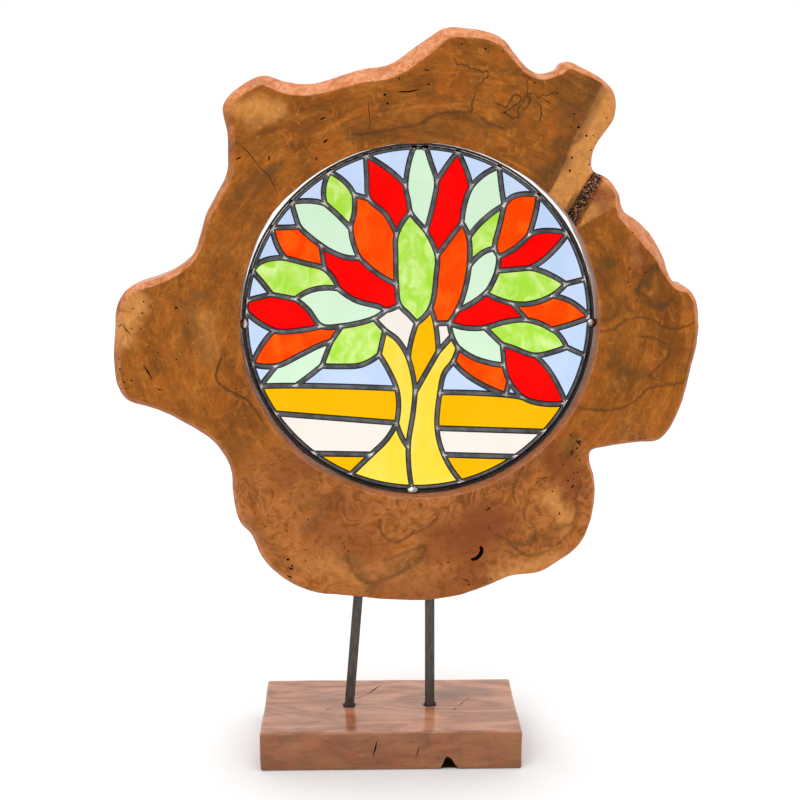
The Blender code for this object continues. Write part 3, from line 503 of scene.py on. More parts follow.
def inset(sides, distance):
    """A pane's outline moved inwards, with the same number of points for any distance."""
    curves = [shifted(side, distance) for side in sides]
    ends, starts = [], []
    for first, second in zip(curves, curves[1:] + curves[:1]):
        end, start = crossing(first, second)
        ends.append(end)
        starts.append(start)
    starts = starts[-1:] + starts[:-1]
    outline = []
    for side, curve, start, end in zip(sides, curves, starts, ends):
        count = len(side) - 1
        for index in range(count):
            outline.append(at_position(curve, start + index / count * (end - start)))
    return outline


def circle(radius, segments=192):
    turns = [2 * math.pi * i / segments for i in range(segments)]
    return [radius * Vector((math.cos(a), math.sin(a))) for a in turns]


# ---------------------------------------------------------------- meshes


def ring(bm, outline, y):
    return [
        bm.verts.new(((CENTRE.x + p.x) * MM, y * MM, (CENTRE.z + p.y) * MM)) for p in outline
    ]


def band(bm, first, second):
    count = len(first)
    for i in range(count):
        j = (i + 1) % count
        bm.faces.new((first[i], first[j], second[j], second[i]))


def fill(bm, loops):
    edges = []
    for loop in loops:
        for first, second in zip(loop, loop[1:] + loop[:1]):
            edges.append(bm.edges.get((first, second)) or bm.edges.new((first, second)))
    bmesh.ops.triangle_fill(bm, use_beauty=True, edges=edges)


def add_piece(name, mesh, look, smooth_below=None):
    """A new piece of the object that rides on the only body."""
    mesh.materials.clear()
    mesh.materials.append(look)
    if smooth_below is not None:
        mesh.shade_smooth()
        mesh.set_sharp_from_angle(angle=math.radians(smooth_below))
    obj = bpy.data.objects.new(name, mesh)
    bpy.context.scene.collection.objects.link(obj)
    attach(obj, "root")
    return obj


def points_of(mesh):
    """The places of a mesh's vertices, in metres."""
    co = np.zeros(len(mesh.vertices) * 3, np.float32)
    mesh.vertices.foreach_get("co", co)
    return co.reshape(-1, 3)


def mesh_of(bm, name):
    bmesh.ops.recalc_face_normals(bm, faces=bm.faces)
    mesh = bpy.data.meshes.new(name)
    bm.to_mesh(mesh)
    bm.free()
    return mesh


def waves(points, size, seed, count=14):
    """Smooth noise from -1 to 1 at an array of points, with bumps about that size."""
    rng = np.random.default_rng(seed)
    total = np.zeros(len(points))
    for _ in range(count):
        direction = rng.normal(size=points.shape[1])
        direction *= rng.uniform(0.6, 1.4) * math.pi / size / np.linalg.norm(direction)
        total += np.sin(points @ direction + rng.uniform(0, 2 * math.pi))
    return total / math.sqrt(count / 2) / 1.6


def wander(points, size, seed):
    """Smooth noise along both flat axes."""
    return np.stack([waves(points, size, seed), waves(points, size, seed + 1)], 1)


def fade(value, low, high):
    """A soft step from 0 to 1 between two limits."""
    t = np.clip((value - low) / (high - low), 0, 1)
    return t * t * (3 - 2 * t)


# ---------------------------------------------------------------- the slab


def beyond(points, start, end):
    """Distance of points to the right of a line, seen from its start to its end."""
    start, end = np.array(start, float), np.array(end, float)
    along = (end - start) / np.linalg.norm(end - start)
    return (points - start) @ np.array((along[1], -along[0]))


def relief_at(flat):
    """How far the front face lies behind its highest plane at flat positions."""
    facet = 0.30 * np.maximum(0, beyond(flat, *RIGHT_FACET))
    above = np.maximum(-beyond(flat, *FOLD_LEFT), -beyond(flat, *FOLD_RIGHT))
    fold = np.minimum(0.5 * np.maximum(0, above), 9)
    across = beyond(flat, *CREVICE)
    wall = fade(across, -0.8, 0.8)
    relief = (1 - wall) * facet + wall * fold
    pits = 2.0 * np.maximum(0, waves(flat, 2.6, 21)) + waves(flat, 5, 22)
    trench = wall * (1 - fade(across, 7.5, 10)) * fade(above, 0, 5)
    relief += trench * (11 - np.minimum(relief, 9) + pits)
    lobe = np.minimum(beyond(flat, *LEFT_FACET_TOP), beyond(flat, *LEFT_FACET_SIDE))
    return relief + 0.30 * np.maximum(0, lobe) * fade(-flat[:, 0], 160, 172)


def slab_curves():
    """The front ridge, the outer edge and the width between them, at matching points."""
    points = [Vector((x, z)) for x, z, _ in OUTLINE]
    outer = np.array(smooth(points, closed=True, steps=SLAB_STEPS))
    halves = smooth(points, closed=True, steps=2)
    slopes = np.array([w for *_, w in OUTLINE], float)
    between = (slopes + np.roll(slopes, -1)) / 2
    widths = np.stack([slopes, between], 1).ravel()
    inner = []
    for i, point in enumerate(halves):
        along = (halves[(i + 1) % len(halves)] - halves[i - 1]).normalized()
        inner.append(point + float(widths[i]) * Vector((along.y, -along.x)))
    ridge = np.array(smooth(inner, closed=True, steps=SLAB_STEPS // 2))
    stations = np.arange(len(outer)) * len(widths) / len(outer)
    width = np.interp(stations, np.arange(len(widths) + 1), np.append(widths, widths[0]))
    return ridge, outer, width


class SlabRows:
    """Closed rows of points, from the window over the front, edge and back to its wall."""

    def __init__(self):
        self.ridge, self.outer, self.width = slab_curves()
        self.count = len(self.outer)
        self.angle = np.arctan2(self.ridge[:, 1], self.ridge[:, 0])
        spots, clearance = zip(*WINDOW)
        radius = HOOP_RADIUS + np.interp(np.degrees(self.angle), spots, clearance, period=360)
        self.direction = np.stack([np.cos(self.angle), np.sin(self.angle)], 1)
        self.hole = radius[:, None] * self.direction
        self.normal = self.outer - self.ridge
        self.normal /= np.linalg.norm(self.normal, axis=1)[:, None]
        self.span = np.linalg.norm(self.ridge - self.hole, axis=1)
        self.flat, self.depth, self.rise = [], [], []
        self.add_front()
        self.add_edge()
        self.add_back()
        self.add_wall()

    def add(self, flat, depth, rise):
        self.flat.append(flat)
        self.depth.append(np.broadcast_to(depth, (self.count,)).astype(float))
        self.rise.append(np.broadcast_to(rise, (self.count,)).astype(float))

    def add_front(self):
        for i in range(FACE_ROWS + 1):
            t = i / FACE_ROWS
            flat = self.hole + t * (self.ridge - self.hole)
            if i == 0:
                flat = self.hole + FRONT_ROUNDING * self.direction
            self.add(flat, -SLAB_HALF + relief_at(flat), t * self.span)

    def add_edge(self):
        """The sloping live edge, then the side."""
        relief = relief_at(self.ridge)
        for i in range(1, EDGE_ROWS + 1):
            t = i / EDGE_ROWS
            bulge = 0.12 * self.width * math.sin(math.pi * t)
            flat = self.ridge + t * (self.outer - self.ridge)
            depth = -SLAB_HALF + relief * (1 - 0.3 * t) + t * (EDGE_FALL * self.width) - bulge
            self.add(flat, depth, self.span + t * self.width)
        start = self.depth[-1]
        for i in range(1, SIDE_ROWS + 1):
            t = i / SIDE_ROWS
            depth = start + t * (SLAB_HALF - BACK_CHAMFER - start)
            self.add(self.outer, depth, self.span + self.width)

    def add_back(self):
        for share, depth in BACK_EDGE:
            flat = self.outer - share * self.width[:, None] * self.normal
            self.add(flat, SLAB_HALF + depth, self.span)
        back = self.flat[-1]
        for i in range(1, BACK_ROWS):
            t = i / BACK_ROWS
            self.add(back + t * (self.hole - back), SLAB_HALF, (1 - t) * self.span)

    def add_wall(self):
        self.add(self.hole + BACK_ROUNDING * self.direction, SLAB_HALF, 0)
        for i in range(WALL_ROWS + 1):
            t = i / WALL_ROWS
            self.add(self.hole, SLAB_HALF - BACK_ROUNDING - t * (2 * SLAB_HALF - WALL_ENDS), 0)


def mask(length, start, end):
    inside = np.zeros(length)
    inside[start:end] = 1
    return inside


def push(places, chosen, amount, way):
    """Moves the chosen points along their own flat directions."""
    places[:, 0] += chosen * amount * way[:, 0]
    places[:, 2] += chosen * amount * way[:, 1]


def build_slab_mesh():
    rows = SlabRows()
    count, total = rows.count, len(rows.flat)
    flat, depth = np.concatenate(rows.flat), np.concatenate(rows.depth)
    rise = np.concatenate(rows.rise)
    level = np.tile(np.arange(count), total)
    around, outward = rows.direction[level], rows.normal[level]
    places = np.stack([flat[:, 0], depth, flat[:, 1]], 1)
    face_end = (FACE_ROWS + 1) * count
    side_end = (FACE_ROWS + 1 + EDGE_ROWS + SIDE_ROWS) * count
    wall_start = -(WALL_ROWS + 1) * count
    on_edge = mask(len(flat), face_end, side_end)
    wall = mask(len(flat), wall_start, None)
    # soft hollows left by the sander, then the ripple of the live edge
    hollows = 0.45 * waves(flat, 38, 3) * fade(rise, 0, 12)
    places[:, 1] += mask(len(flat), 0, face_end) * hollows
    ripple = 0.3 * waves(places * np.array((1, 0.45, 1)), 16, 5) + 0.1 * waves(places, 6, 6)
    push(places, on_edge, ripple, outward)
    # marks of the tool that cut the window, and the undercut
    turned, spread, deepest = UNDERCUT
    chatter = 0.22 * waves(places, 9, 8)
    near_cut = np.exp(-(((rows.angle[level] - turned) / spread) ** 2))
    chatter += deepest * (near_cut * fade(places[:, 1], 3, 13))
    push(places, wall, chatter, around)
    places[:, 1] += mask(len(flat), side_end, wall_start) * (0.4 * waves(flat, 30, 9) - 0.4)

    mesh = grid_mesh("slab_wood", places, total, count)
    vectors = np.stack([around[:, 0] * RING_REACH, around[:, 1] * RING_REACH, rise], 1)
    attribute = mesh.attributes.new("rings", "FLOAT_VECTOR", "POINT")
    attribute.data.foreach_set("vector", vectors.astype(np.float32).ravel())
    # painted light: the live edge shows more of its own paler colour where it faces up, as if lit from
    # above
    upward = 0.2 + 0.8 * fade(outward[:, 1] + 0.3 * outward[:, 0], -0.2, 0.7)
    set_attribute(mesh, "edge", np.maximum(on_edge * upward, 0.6 * wall))
    bm = bmesh.new()
    bm.from_mesh(mesh)
    bmesh.ops.recalc_face_normals(bm, faces=bm.faces)
    bm.to_mesh(mesh)
    bm.free()
    return mesh


def grid_mesh(name, places, total, count):
    """A mesh of closed rows of points, each joined to the next and the last to the first."""
    grid = np.arange(total * count).reshape(total, count)
    right, down = np.roll(grid, -1, 1), np.roll(grid, -1, 0)
    both = np.roll(down, -1, 1)
    faces = np.stack([grid, down, both, right], 2).reshape(-1, 4)
    world = (places + np.array((CENTRE.x, 0, CENTRE.z))) * MM
    mesh = bpy.data.meshes.new(name)
    mesh.from_pydata(world.tolist(), [], faces.tolist())
    return mesh


def capsule_reach(points, stain):
    """How strongly a soft-edged stain reaches each flat point."""
    start, end = np.array(stain[0:2], float), np.array(stain[2:4], float)
    along = end - start
    share = np.clip((points - start) @ along / max(along @ along, 1e-6), 0, 1)
    away = np.linalg.norm(points - start - share[:, None] * along, axis=1)
    return stain[5] * (1 - fade(away, 0.15 * stain[4], 1.15 * stain[4]))


def stained(points, stains, seed):
    """Stains joined into one mask, with ragged edges."""
    ragged = points + 2.5 * (wander(points, 14, seed) + 0.5 * wander(points, 5, seed + 2))
    total = np.zeros(len(points))
    for stain in stains:
        total = 1 - (1 - total) * (1 - capsule_reach(ragged, stain))
    return total


def nearest_line(points):
    """Signed and plain distance to the nearest drawn line, and that line's half width."""
    near = np.full(len(points), 1e3)
    side, half = near.copy(), np.ones(len(points))
    for weight, *corners in LINES:
        curve = smooth([Vector(c) for c in corners], closed=False, steps=3)
        for first, second in zip(curve, curve[1:]):
            start, along = np.array(first), np.array(second - first)
            share = np.clip((points - start) @ along / (along @ along), 0, 1)
            gap = points - start - share[:, None] * along
            away = np.linalg.norm(gap, axis=1)
            closer = away < near
            sign = np.sign(gap[:, 0] * along[1] - gap[:, 1] * along[0])
            near = np.where(closer, away, near)
            side = np.where(closer, sign * away, side)
            half = np.where(closer, weight, half)
    return side, near, half


def set_attribute(mesh, name, values):
    attribute = mesh.attributes.new(name, "FLOAT", "POINT")
    attribute.data.foreach_set("value", values.astype(np.float32))


def prism(bm, outline, near, far, taper, loop_at):
    """A closed cutter from one depth to another, where it is narrower."""
    middle = sum(outline, Vector((0, 0))) / len(outline)
    tip = [middle.lerp(p, taper) for p in outline]
    loops = [loop_at(bm, outline, near), loop_at(bm, tip, far)]
    band(bm, *loops)
    caps = [bm.faces.new(loop) for loop in loops]
    bmesh.ops.triangulate(bm, faces=caps)


def square_reach(angle, half, most):
    """How far a square with cut corners reaches in a direction."""
    return min(half / max(abs(math.cos(angle)), abs(math.sin(angle))), most)


def crack_outline(width, points):
    """A thin lens along a line of points."""
    points = [Vector(p) for p in points]
    left, right = [], []
    last = len(points) - 1
    for i, point in enumerate(points):
        along = points[min(i + 1, last)] - points[max(i - 1, 0)]
        side = Vector((-along.y, along.x)).normalized()
        half = width * (0.15 if i in (0, last) else 0.5)
        left.append(point + half * side)
        right.append(point - half * side)
    if last == 1:
        middle = (points[0] + points[1]) / 2
        side = Vector((points[0].y - points[1].y, points[1].x - points[0].x)).normalized()
        left.insert(1, middle + width / 2 * side)
        right.insert(1, middle - width / 2 * side)
    return left + right[::-1]


def surface_at(outline):
    flat = np.array([tuple(p) for p in outline], float)
    return float(-SLAB_HALF + relief_at(flat).mean())


def cut_away(target, bm, hollow):
    """Cuts a bmesh of cutters out of an object, with the cut faces in the second look."""
    cutter_mesh = mesh_of(bm, "cutters")
    cutter_mesh.materials.append(hollow)
    cutter = bpy.data.objects.new("cutters", cutter_mesh)
    bpy.context.scene.collection.objects.link(cutter)
    modifier = target.modifiers.new("cut", "BOOLEAN")
    modifier.operation = "DIFFERENCE"
    modifier.solver = "MANIFOLD"
    modifier.material_mode = "TRANSFER"
    modifier.object = cutter
    cut_mesh = bpy.data.meshes.new_from_object(
        target.evaluated_get(bpy.context.evaluated_depsgraph_get())
    )
    target.modifiers.clear()
    old = target.data
    target.data = cut_mesh
    bpy.data.meshes.remove(old)
    bpy.data.objects.remove(cutter)


def slab_cutters():
    bm = bmesh.new()
    rng = np.random.default_rng(7)
    for right, up, radius, depth in HOLES:
        turn = rng.uniform(0, 6)
        outline = []
        for i in range(9):
            angle = turn + 2 * math.pi * i / 9
            reach = radius * rng.uniform(0.85, 1.15)
            outline.append(Vector((right + reach * math.cos(angle), up + reach * math.sin(angle))))
        surface = surface_at(outline)
        prism(bm, outline, surface - 9, surface + depth, 0.7, ring)
    for width, depth, *points in CRACKS:
        outline = crack_outline(width, points)
        surface = surface_at(outline)
        prism(bm, outline, surface - 3, surface + depth, 0.9, ring)
    outline = [Vector(p) for p in CRESCENT]
    prism(bm, outline, -SLAB_HALF - 3, -SLAB_HALF + CRESCENT_DEPTH, 0.8, ring)
    return bm


# ---------------------------------------------------------------- materials


def rgb(red, green, blue):
    """An sRGB colour as the linear values that sockets take."""
    linear = []
    for value in (red, green, blue):
        share = value / 255
        linear.append(share / 12.92 if share <= 0.04045 else ((share + 0.055) / 1.055) ** 2.4)
    return (*linear, 1)


class Look:
    """A material and short ways to add nodes to it."""

    def __init__(self, name):
        self.material = bpy.data.materials.new(name)
        self.material.use_nodes = True
        self.tree = self.material.node_tree
        self.shader = self.tree.nodes["Principled BSDF"]

    def add(self, kind, inputs=(), **settings):
        made = self.tree.nodes.new("ShaderNode" + kind)
        for key, value in settings.items():
            setattr(made, key, value)
        for key, value in dict(inputs).items():
            self.put(made.inputs[key], value)
        return made

    def put(self, socket, value):
        if isinstance(value, bpy.types.NodeSocket):
            self.tree.links.new(value, socket)
        else:
            socket.default_value = value

    def set(self, **values):
        for key, value in values.items():
            self.put(self.shader.inputs[key.replace("_", " ")], value)

    def place(self, stretch=(1, 1, 1)):
        """Object coordinates in millimetres."""
        coordinates = self.add("TexCoord").outputs["Object"]
        scale = [s / MM for s in stretch]
        return self.add("Mapping", {"Vector": coordinates, "Scale": scale}).outputs[0]

    def noise(self, vector, size, detail=4, rough=0.5, twist=0.0):
        values = {"Vector": vector, "Scale": 1 / size, "Detail": detail}
        values |= {"Roughness": rough, "Distortion": twist}
        return self.add("TexNoise", values).outputs["Fac"]

    def attribute(self, name, output="Fac"):
        return self.add("Attribute", attribute_name=name).outputs[output]

    def math(self, operation, first, second=0.0):
        made = self.add("Math", operation=operation)
        self.put(made.inputs[0], first)
        self.put(made.inputs[1], second)
        return made.outputs[0]

    def spread(self, value, low, high, to_low=0.0, to_high=1.0):
        """A value between two limits, eased and mapped to others."""
        values = {"Value": value, 1: low, 2: high, 3: to_low, 4: to_high}
        return self.add("MapRange", values, interpolation_type="SMOOTHSTEP").outputs[0]

    def mix(self, share, first, second, blend="MIX"):
        made = self.add("Mix", data_type="RGBA", blend_type=blend)
        self.put(made.inputs[0], share)
        self.put(made.inputs[6], first)
        self.put(made.inputs[7], second)
        return made.outputs[2]

    def bump(self, height, strength, distance=0.5):
        values = {"Height": height, "Strength": strength, "Distance": distance * MM}
        self.set(Normal=self.add("Bump", values).outputs[0])


def wood_look():
    """Lacquered teak root: rings that follow the live edge, burl below, stains and thin dark lines;
    painted light on facets and the upward live edge, painted shade by the right facet.
    """
    look = Look("teak_root")
    place_mm = look.place()
    rings = look.attribute("rings", "Vector")
    drift = look.noise(place_mm, 46, detail=3, rough=0.55, twist=0.4)
    streak = look.noise(rings, 11, detail=6, rough=0.62, twist=1.2)
    fine = look.noise(rings, 1.6, detail=4, rough=0.6, twist=0.3)
    mottle = look.noise(place_mm, 7, detail=5, rough=0.65, twist=1.5)
    grit = look.noise(place_mm, 0.9, detail=3, rough=0.6)
    colour = look.mix(look.spread(drift, 0.35, 0.65), WOOD_DEEP, WOOD_WARM)
    colour = look.mix(look.spread(streak, 0.45, 0.72, 0, 0.65), colour, WOOD_LIGHT)
    colour = look.mix(look.spread(streak, 0.46, 0.30, 0, 0.55), colour, WOOD_DARK)
    colour = look.mix(look.spread(fine, 0.35, 0.75, 0.42, 0.0), colour, WOOD_DARK)
    colour = look.mix(look.spread(mottle, 0.50, 0.72, 0, 0.5), colour, WOOD_LIGHT)
    smoke = look.noise(place_mm, 17, detail=5, rough=0.62, twist=2.2)
    colour = look.mix(look.spread(smoke, 0.50, 0.72, 0, 0.55), colour, WOOD_SMOKE)
    glow = look.noise(place_mm, 27, detail=4, rough=0.6, twist=1.4)
    colour = look.mix(look.spread(glow, 0.48, 0.72, 0, 0.38), colour, WOOD_GLOW)
    low = look.attribute("low")
    burl = look.noise(place_mm, 13, detail=6, rough=0.7, twist=2.5)
    burl_share = look.math("MULTIPLY", low, look.spread(burl, 0.42, 0.6, 0.1, 0.75))
    colour = look.mix(burl_share, colour, WOOD_BURL)
    deep_share = look.math("MULTIPLY", low, look.spread(burl, 0.46, 0.32, 0, 0.6))
    colour = look.mix(deep_share, colour, WOOD_RED)
    # pale stains, plus painted light on the facets
    pale = look.math("MULTIPLY", look.attribute("pale"), look.spread(mottle, 0.3, 0.7, 0.5, 1))
    colour = look.mix(pale, colour, WOOD_PALE_AND_LIGHT)
    red = look.math("MULTIPLY", look.attribute("red"), look.spread(burl, 0.3, 0.6, 0.35, 0.9))
    colour = look.mix(red, colour, WOOD_RED)
    # dark stains, plus the band of painted shade left of the right facet
    dark = look.math("MULTIPLY", look.attribute("dark"), look.spread(mottle, 0.3, 0.62, 0.5, 1))
    colour = look.mix(dark, colour, WOOD_STAIN_AND_SHADE)
    half = look.attribute("line_half")
    away = look.math("ABSOLUTE", look.attribute("line_side"))
    line = look.spread(look.math("DIVIDE", away, half), 2.0, 0.3)
    line = look.math("MULTIPLY", line, look.spread(half, 0.6, 1.1, 0.85, 0.42))
    nearby = look.math("DIVIDE", look.attribute("line_near"), half)
    line = look.math("MULTIPLY", line, look.spread(nearby, 3.4, 2.4))
    line = look.math("MULTIPLY", line, look.spread(mottle, 0.3, 0.6, 0.45, 1))
    colour = look.mix(line, colour, WOOD_LINE)
    pore = look.spread(grit, 0.68, 0.78, 0, 0.5)
    colour = look.mix(pore, colour, WOOD_LINE)
    # the live edge's own colour, with painted light: more of it where the edge faces up
    edge = look.attribute("edge")
    bark = look.mix(look.spread(mottle, 0.35, 0.65), EDGE_WARM, EDGE_PALE)
    bark = look.mix(look.spread(streak, 0.5, 0.35, 0, 0.45), bark, EDGE_DEEP)
    colour = look.mix(look.math("MULTIPLY", edge, 0.85), colour, bark)
    crust = look.attribute("crust")
    grain = look.noise(place_mm, 1.5, detail=2, rough=0.8)
    flakes = look.mix(look.spread(grain, 0.50, 0.62), CRUST_DARK, CRUST_PALE)
    colour = look.mix(crust, colour, flakes)
    look.set(Base_Color=colour, Specular_IOR_Level=0.07)
    look.set(Roughness=look.spread(streak, 0.3, 0.7, 0.30, 0.42))
    look.bump(look.math("ADD", look.math("MULTIPLY", fine, 0.5), mottle), 0.22, 0.6)
    return look.material


WOOD_DEEP = rgb(120, 66, 18)
WOOD_WARM = rgb(156, 88, 24)
WOOD_LIGHT = rgb(186, 114, 42)
WOOD_DARK = rgb(88, 52, 18)
WOOD_BURL = rgb(174, 106, 60)
WOOD_PALE_AND_LIGHT = rgb(204, 140, 76)
WOOD_RED = rgb(112, 54, 28)
WOOD_SMOKE = rgb(98, 66, 26)
WOOD_GLOW = rgb(176, 90, 26)
WOOD_STAIN_AND_SHADE = rgb(74, 52, 26)
WOOD_LINE = rgb(62, 40, 20)
EDGE_WARM = rgb(184, 106, 56)
EDGE_PALE = rgb(210, 146, 110)
EDGE_DEEP = rgb(142, 78, 38)
CRUST_DARK = rgb(50, 28, 16)
CRUST_PALE = rgb(190, 140, 108)


BLOCK_DEEP = rgb(138, 82, 46)
BLOCK_WARM = rgb(168, 106, 62)
BLOCK_LIGHT = rgb(190, 124, 74)
BLOCK_DARK = rgb(104, 62, 36)
BLOCK_GRAIN = rgb(104, 60, 34)
BLOCK_FLAME = rgb(172, 88, 52)
BLOCK_TOP_SHEEN = rgb(226, 172, 148)  # painted sheen that makes the top pinker and paler
BLOCK_STAIN_AND_SHADE = rgb(84, 54, 36)
STEEL_DARK = rgb(62, 59, 56)
STEEL_LIGHT = rgb(90, 85, 81)
STEEL_RUST = rgb(70, 58, 46)


def base_look():
    """Lacquered teak block: lengthwise grain, a top made pinker and paler by painted sheen, a front
    darkened by painted shade, and a few stains.
    """
    look = Look("teak_block")
    grain_mm = look.place((0.28, 1, 1))
    place_mm = look.place()
    drift = look.noise(grain_mm, 30, detail=4, rough=0.55, twist=2.6)
    streak = look.noise(grain_mm, 9, detail=5, rough=0.6, twist=1.8)
    fine = look.noise(look.place((0.12, 1, 1)), 1.0, detail=3, rough=0.6)
    mottle = look.noise(place_mm, 6, detail=4, rough=0.6, twist=1)
    colour = look.mix(look.spread(drift, 0.35, 0.65), BLOCK_DEEP, BLOCK_WARM)
    colour = look.mix(look.spread(streak, 0.48, 0.70, 0, 0.45), colour, BLOCK_LIGHT)
    colour = look.mix(look.spread(streak, 0.45, 0.30, 0, 0.4), colour, BLOCK_DARK)
    colour = look.mix(look.spread(fine, 0.4, 0.7, 0.25, 0), colour, BLOCK_GRAIN)
    flame = look.noise(place_mm, 26, detail=3, rough=0.5, twist=3.0)
    colour = look.mix(look.spread(flame, 0.50, 0.62, 0, 0.35), colour, BLOCK_FLAME)
    # painted reflection: the top is made pinker and paler, as the lacquer's sheen under the lights
    top_sheen = look.math("MULTIPLY", look.attribute("top"), look.spread(drift, 0.3, 0.7, 0.02, 0.30))
    colour = look.mix(top_sheen, colour, BLOCK_TOP_SHEEN)
    colour = look.mix(look.attribute("dark"), colour, BLOCK_STAIN_AND_SHADE)
    look.set(Base_Color=colour, Specular_IOR_Level=0.5)
    look.set(Roughness=look.spread(mottle, 0.3, 0.7, 0.10, 0.18))
    look.bump(look.math("ADD", look.math("MULTIPLY", fine, 0.4), mottle), 0.10, 0.5)
    return look.material


def hollow_look():
    # painted shade: the faces cut inside worm holes, cracks, the void and the bars' pockets are
    # near-black brown, as shade in these recesses
    look = Look("hollow")
    noise = look.noise(look.place(), 1.5, detail=3)
    look.set(Base_Color=look.mix(noise, rgb(30, 16, 9), rgb(52, 28, 14)), Roughness=0.9)
    look.set(Specular_IOR_Level=0.1)
    return look.material


def steel_look():
    look = Look("dark_steel")
    place_mm = look.place((1, 1, 0.2))
    scale = look.noise(place_mm, 1.8, detail=5, rough=0.7)
    patch = look.noise(look.place(), 9, detail=3, rough=0.6)
    colour = look.mix(look.spread(scale, 0.35, 0.65), STEEL_DARK, STEEL_LIGHT)
    colour = look.mix(look.spread(patch, 0.55, 0.75, 0, 0.5), colour, STEEL_RUST)
    look.set(Base_Color=colour, Metallic=0.75, Roughness=look.spread(scale, 0.3, 0.7, 0.36, 0.55))
    look.bump(scale, 0.25, 0.3)
    return look.material


def lead_look(name, dark, light, low, high, metallic):
    """Metal with patina, lighter where it faces the viewer; painted shade darkens its rounded edges.
    """
    look = Look(name)
    place_mm = look.place()
    patina = look.noise(place_mm, 7, detail=3, rough=0.5, twist=0.6)
    speck = look.noise(place_mm, 0.9, detail=3, rough=0.7)
    colour = look.mix(look.spread(patina, 0.3, 0.7, 0.3, 1), dark, light)
    colour = look.mix(look.spread(speck, 0.62, 0.75, 0, 0.3), colour, dark)
    facing = look.add("LayerWeight", {"Blend": 0.5}).outputs["Facing"]
    # painted shade: darker where the surface turns away from the viewer; on the cames it also stands
    # for dirt along the glass
    colour = look.mix(look.spread(facing, 0.01, 0.22), colour, dark)
    look.set(Base_Color=colour, Metallic=metallic)
    look.set(Roughness=look.spread(patina, 0.3, 0.7, low, high))
    look.bump(look.math("ADD", patina, look.math("MULTIPLY", speck, 0.3)), 0.3, 0.4)
    return look.material


# Glass: thin colour, lighter wisps, size of the wisps, how much of them, twist, bump
GLASS = {
    "red": (rgb(255, 0, 0), rgb(255, 14, 6), 30, 0.3, 0, 0.03),
    "orange": (rgb(255, 66, 0), rgb(255, 108, 12), 14, 0.6, 0.5, 0.05),
    "lime": (rgb(168, 224, 60), rgb(214, 242, 146), 11, 1.0, 0.8, 0.12),
    "mint": (rgb(210, 238, 208), rgb(219, 242, 215), 24, 0.5, 0, 0.03),
    "sky": (rgb(192, 212, 244), rgb(208, 222, 248), 18, 0.6, 0.3, 0.05),
    "amber": (rgb(252, 182, 0), rgb(252, 190, 12), 26, 0.4, 0, 0.03),
    "yellow": (rgb(255, 216, 62), rgb(255, 224, 100), 22, 0.6, 0.4, 0.04),
    "cream": (rgb(240, 231, 222), rgb(243, 236, 228), 20, 0.5, 0, 0.05),
}


def glass_look(name):
    body, wisp, size, share, twist, bump = GLASS[name]
    look = Look("glass_" + name)
    place_mm = look.place((1, 1, 0.75))
    cloud = look.noise(place_mm, size, detail=3, rough=0.55, twist=twist)
    seed = look.noise(look.place(), 1.3, detail=1, rough=0.4)
    colour = look.mix(look.spread(cloud, 0.38, 0.66, 0, share), body, wisp)
    if name == "cream":
        colour = look.mix(look.spread(seed, 0.80, 0.84, 0, 0.5), colour, rgb(150, 140, 130))
    look.set(Base_Color=colour, Transmission_Weight=1.0, IOR=1.12, Specular_IOR_Level=0.1)
    look.set(Roughness=look.spread(cloud, 0.3, 0.7, 0.0, 0.03))
    look.bump(look.noise(look.place(), 9, detail=2), bump, 0.5)
    return look.material


# ---------------------------------------------------------------- pieces


def make_slab(look, hollow):
    mesh = build_slab_mesh()
    slab = add_piece("slab_wood", mesh, look)
    cut_away(slab, slab_cutters(), hollow)
    mesh = slab.data
    co = points_of(mesh) / MM - np.array(CENTRE) * np.array((1, 0, 1))
    flat = co[:, (0, 2)]
    on_front = 1 - fade(co[:, 1], 0, 10)
    side, near, half = nearest_line(flat + 0.35 * wander(flat, 3, 31))
    near = near + 50 * (co[:, 1] > 0)
    set_attribute(mesh, "line_side", side)
    set_attribute(mesh, "line_near", near)
    set_attribute(mesh, "line_half", half)
    # painted light: the right facet and the lobe above the fold are painted paler, as faces lit by the
    # lamps; painted shade darkens a band of the front just left of the right facet
    past = beyond(flat + 1.2 * wander(flat, 9, 33), *RIGHT_FACET)
    across = beyond(flat, *CREVICE)
    over = fade(-across, 0, 1.5) * fade(flat[:, 1], 60, 70)
    above = np.maximum(-beyond(flat, *FOLD_LEFT), -beyond(flat, *FOLD_RIGHT))
    lobe = 0.6 * fade(above, 0, 1.5) * fade(across, 8, 11) * fade(flat[:, 0], 95, 105)
    facet = np.maximum(0.95 * fade(past, -0.3, 0.6) * over, lobe)
    shaded = 0.75 * fade(past, -18, -2) * (1 - fade(past, -0.6, 0.3)) * over
    set_attribute(mesh, "dark", np.maximum(stained(flat, DARK_STAINS, 41), shaded))
    set_attribute(mesh, "red", stained(flat, RED_STAINS, 51))
    set_attribute(mesh, "pale", np.maximum(stained(flat, PALE_STAINS, 61), facet))
    set_attribute(mesh, "low", fade(-flat[:, 1] + 8 * waves(flat, 30, 71), 60, 130))
    crust = fade(across, -0.4, 0.6) * (1 - fade(across + waves(flat, 4, 81), 7, 9.5))
    set_attribute(mesh, "crust", crust * fade(above, 1, 4) * on_front)
    mesh.shade_smooth()
    mesh.set_sharp_from_angle(angle=math.radians(48))
    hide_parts("teak_slab")
    return slab


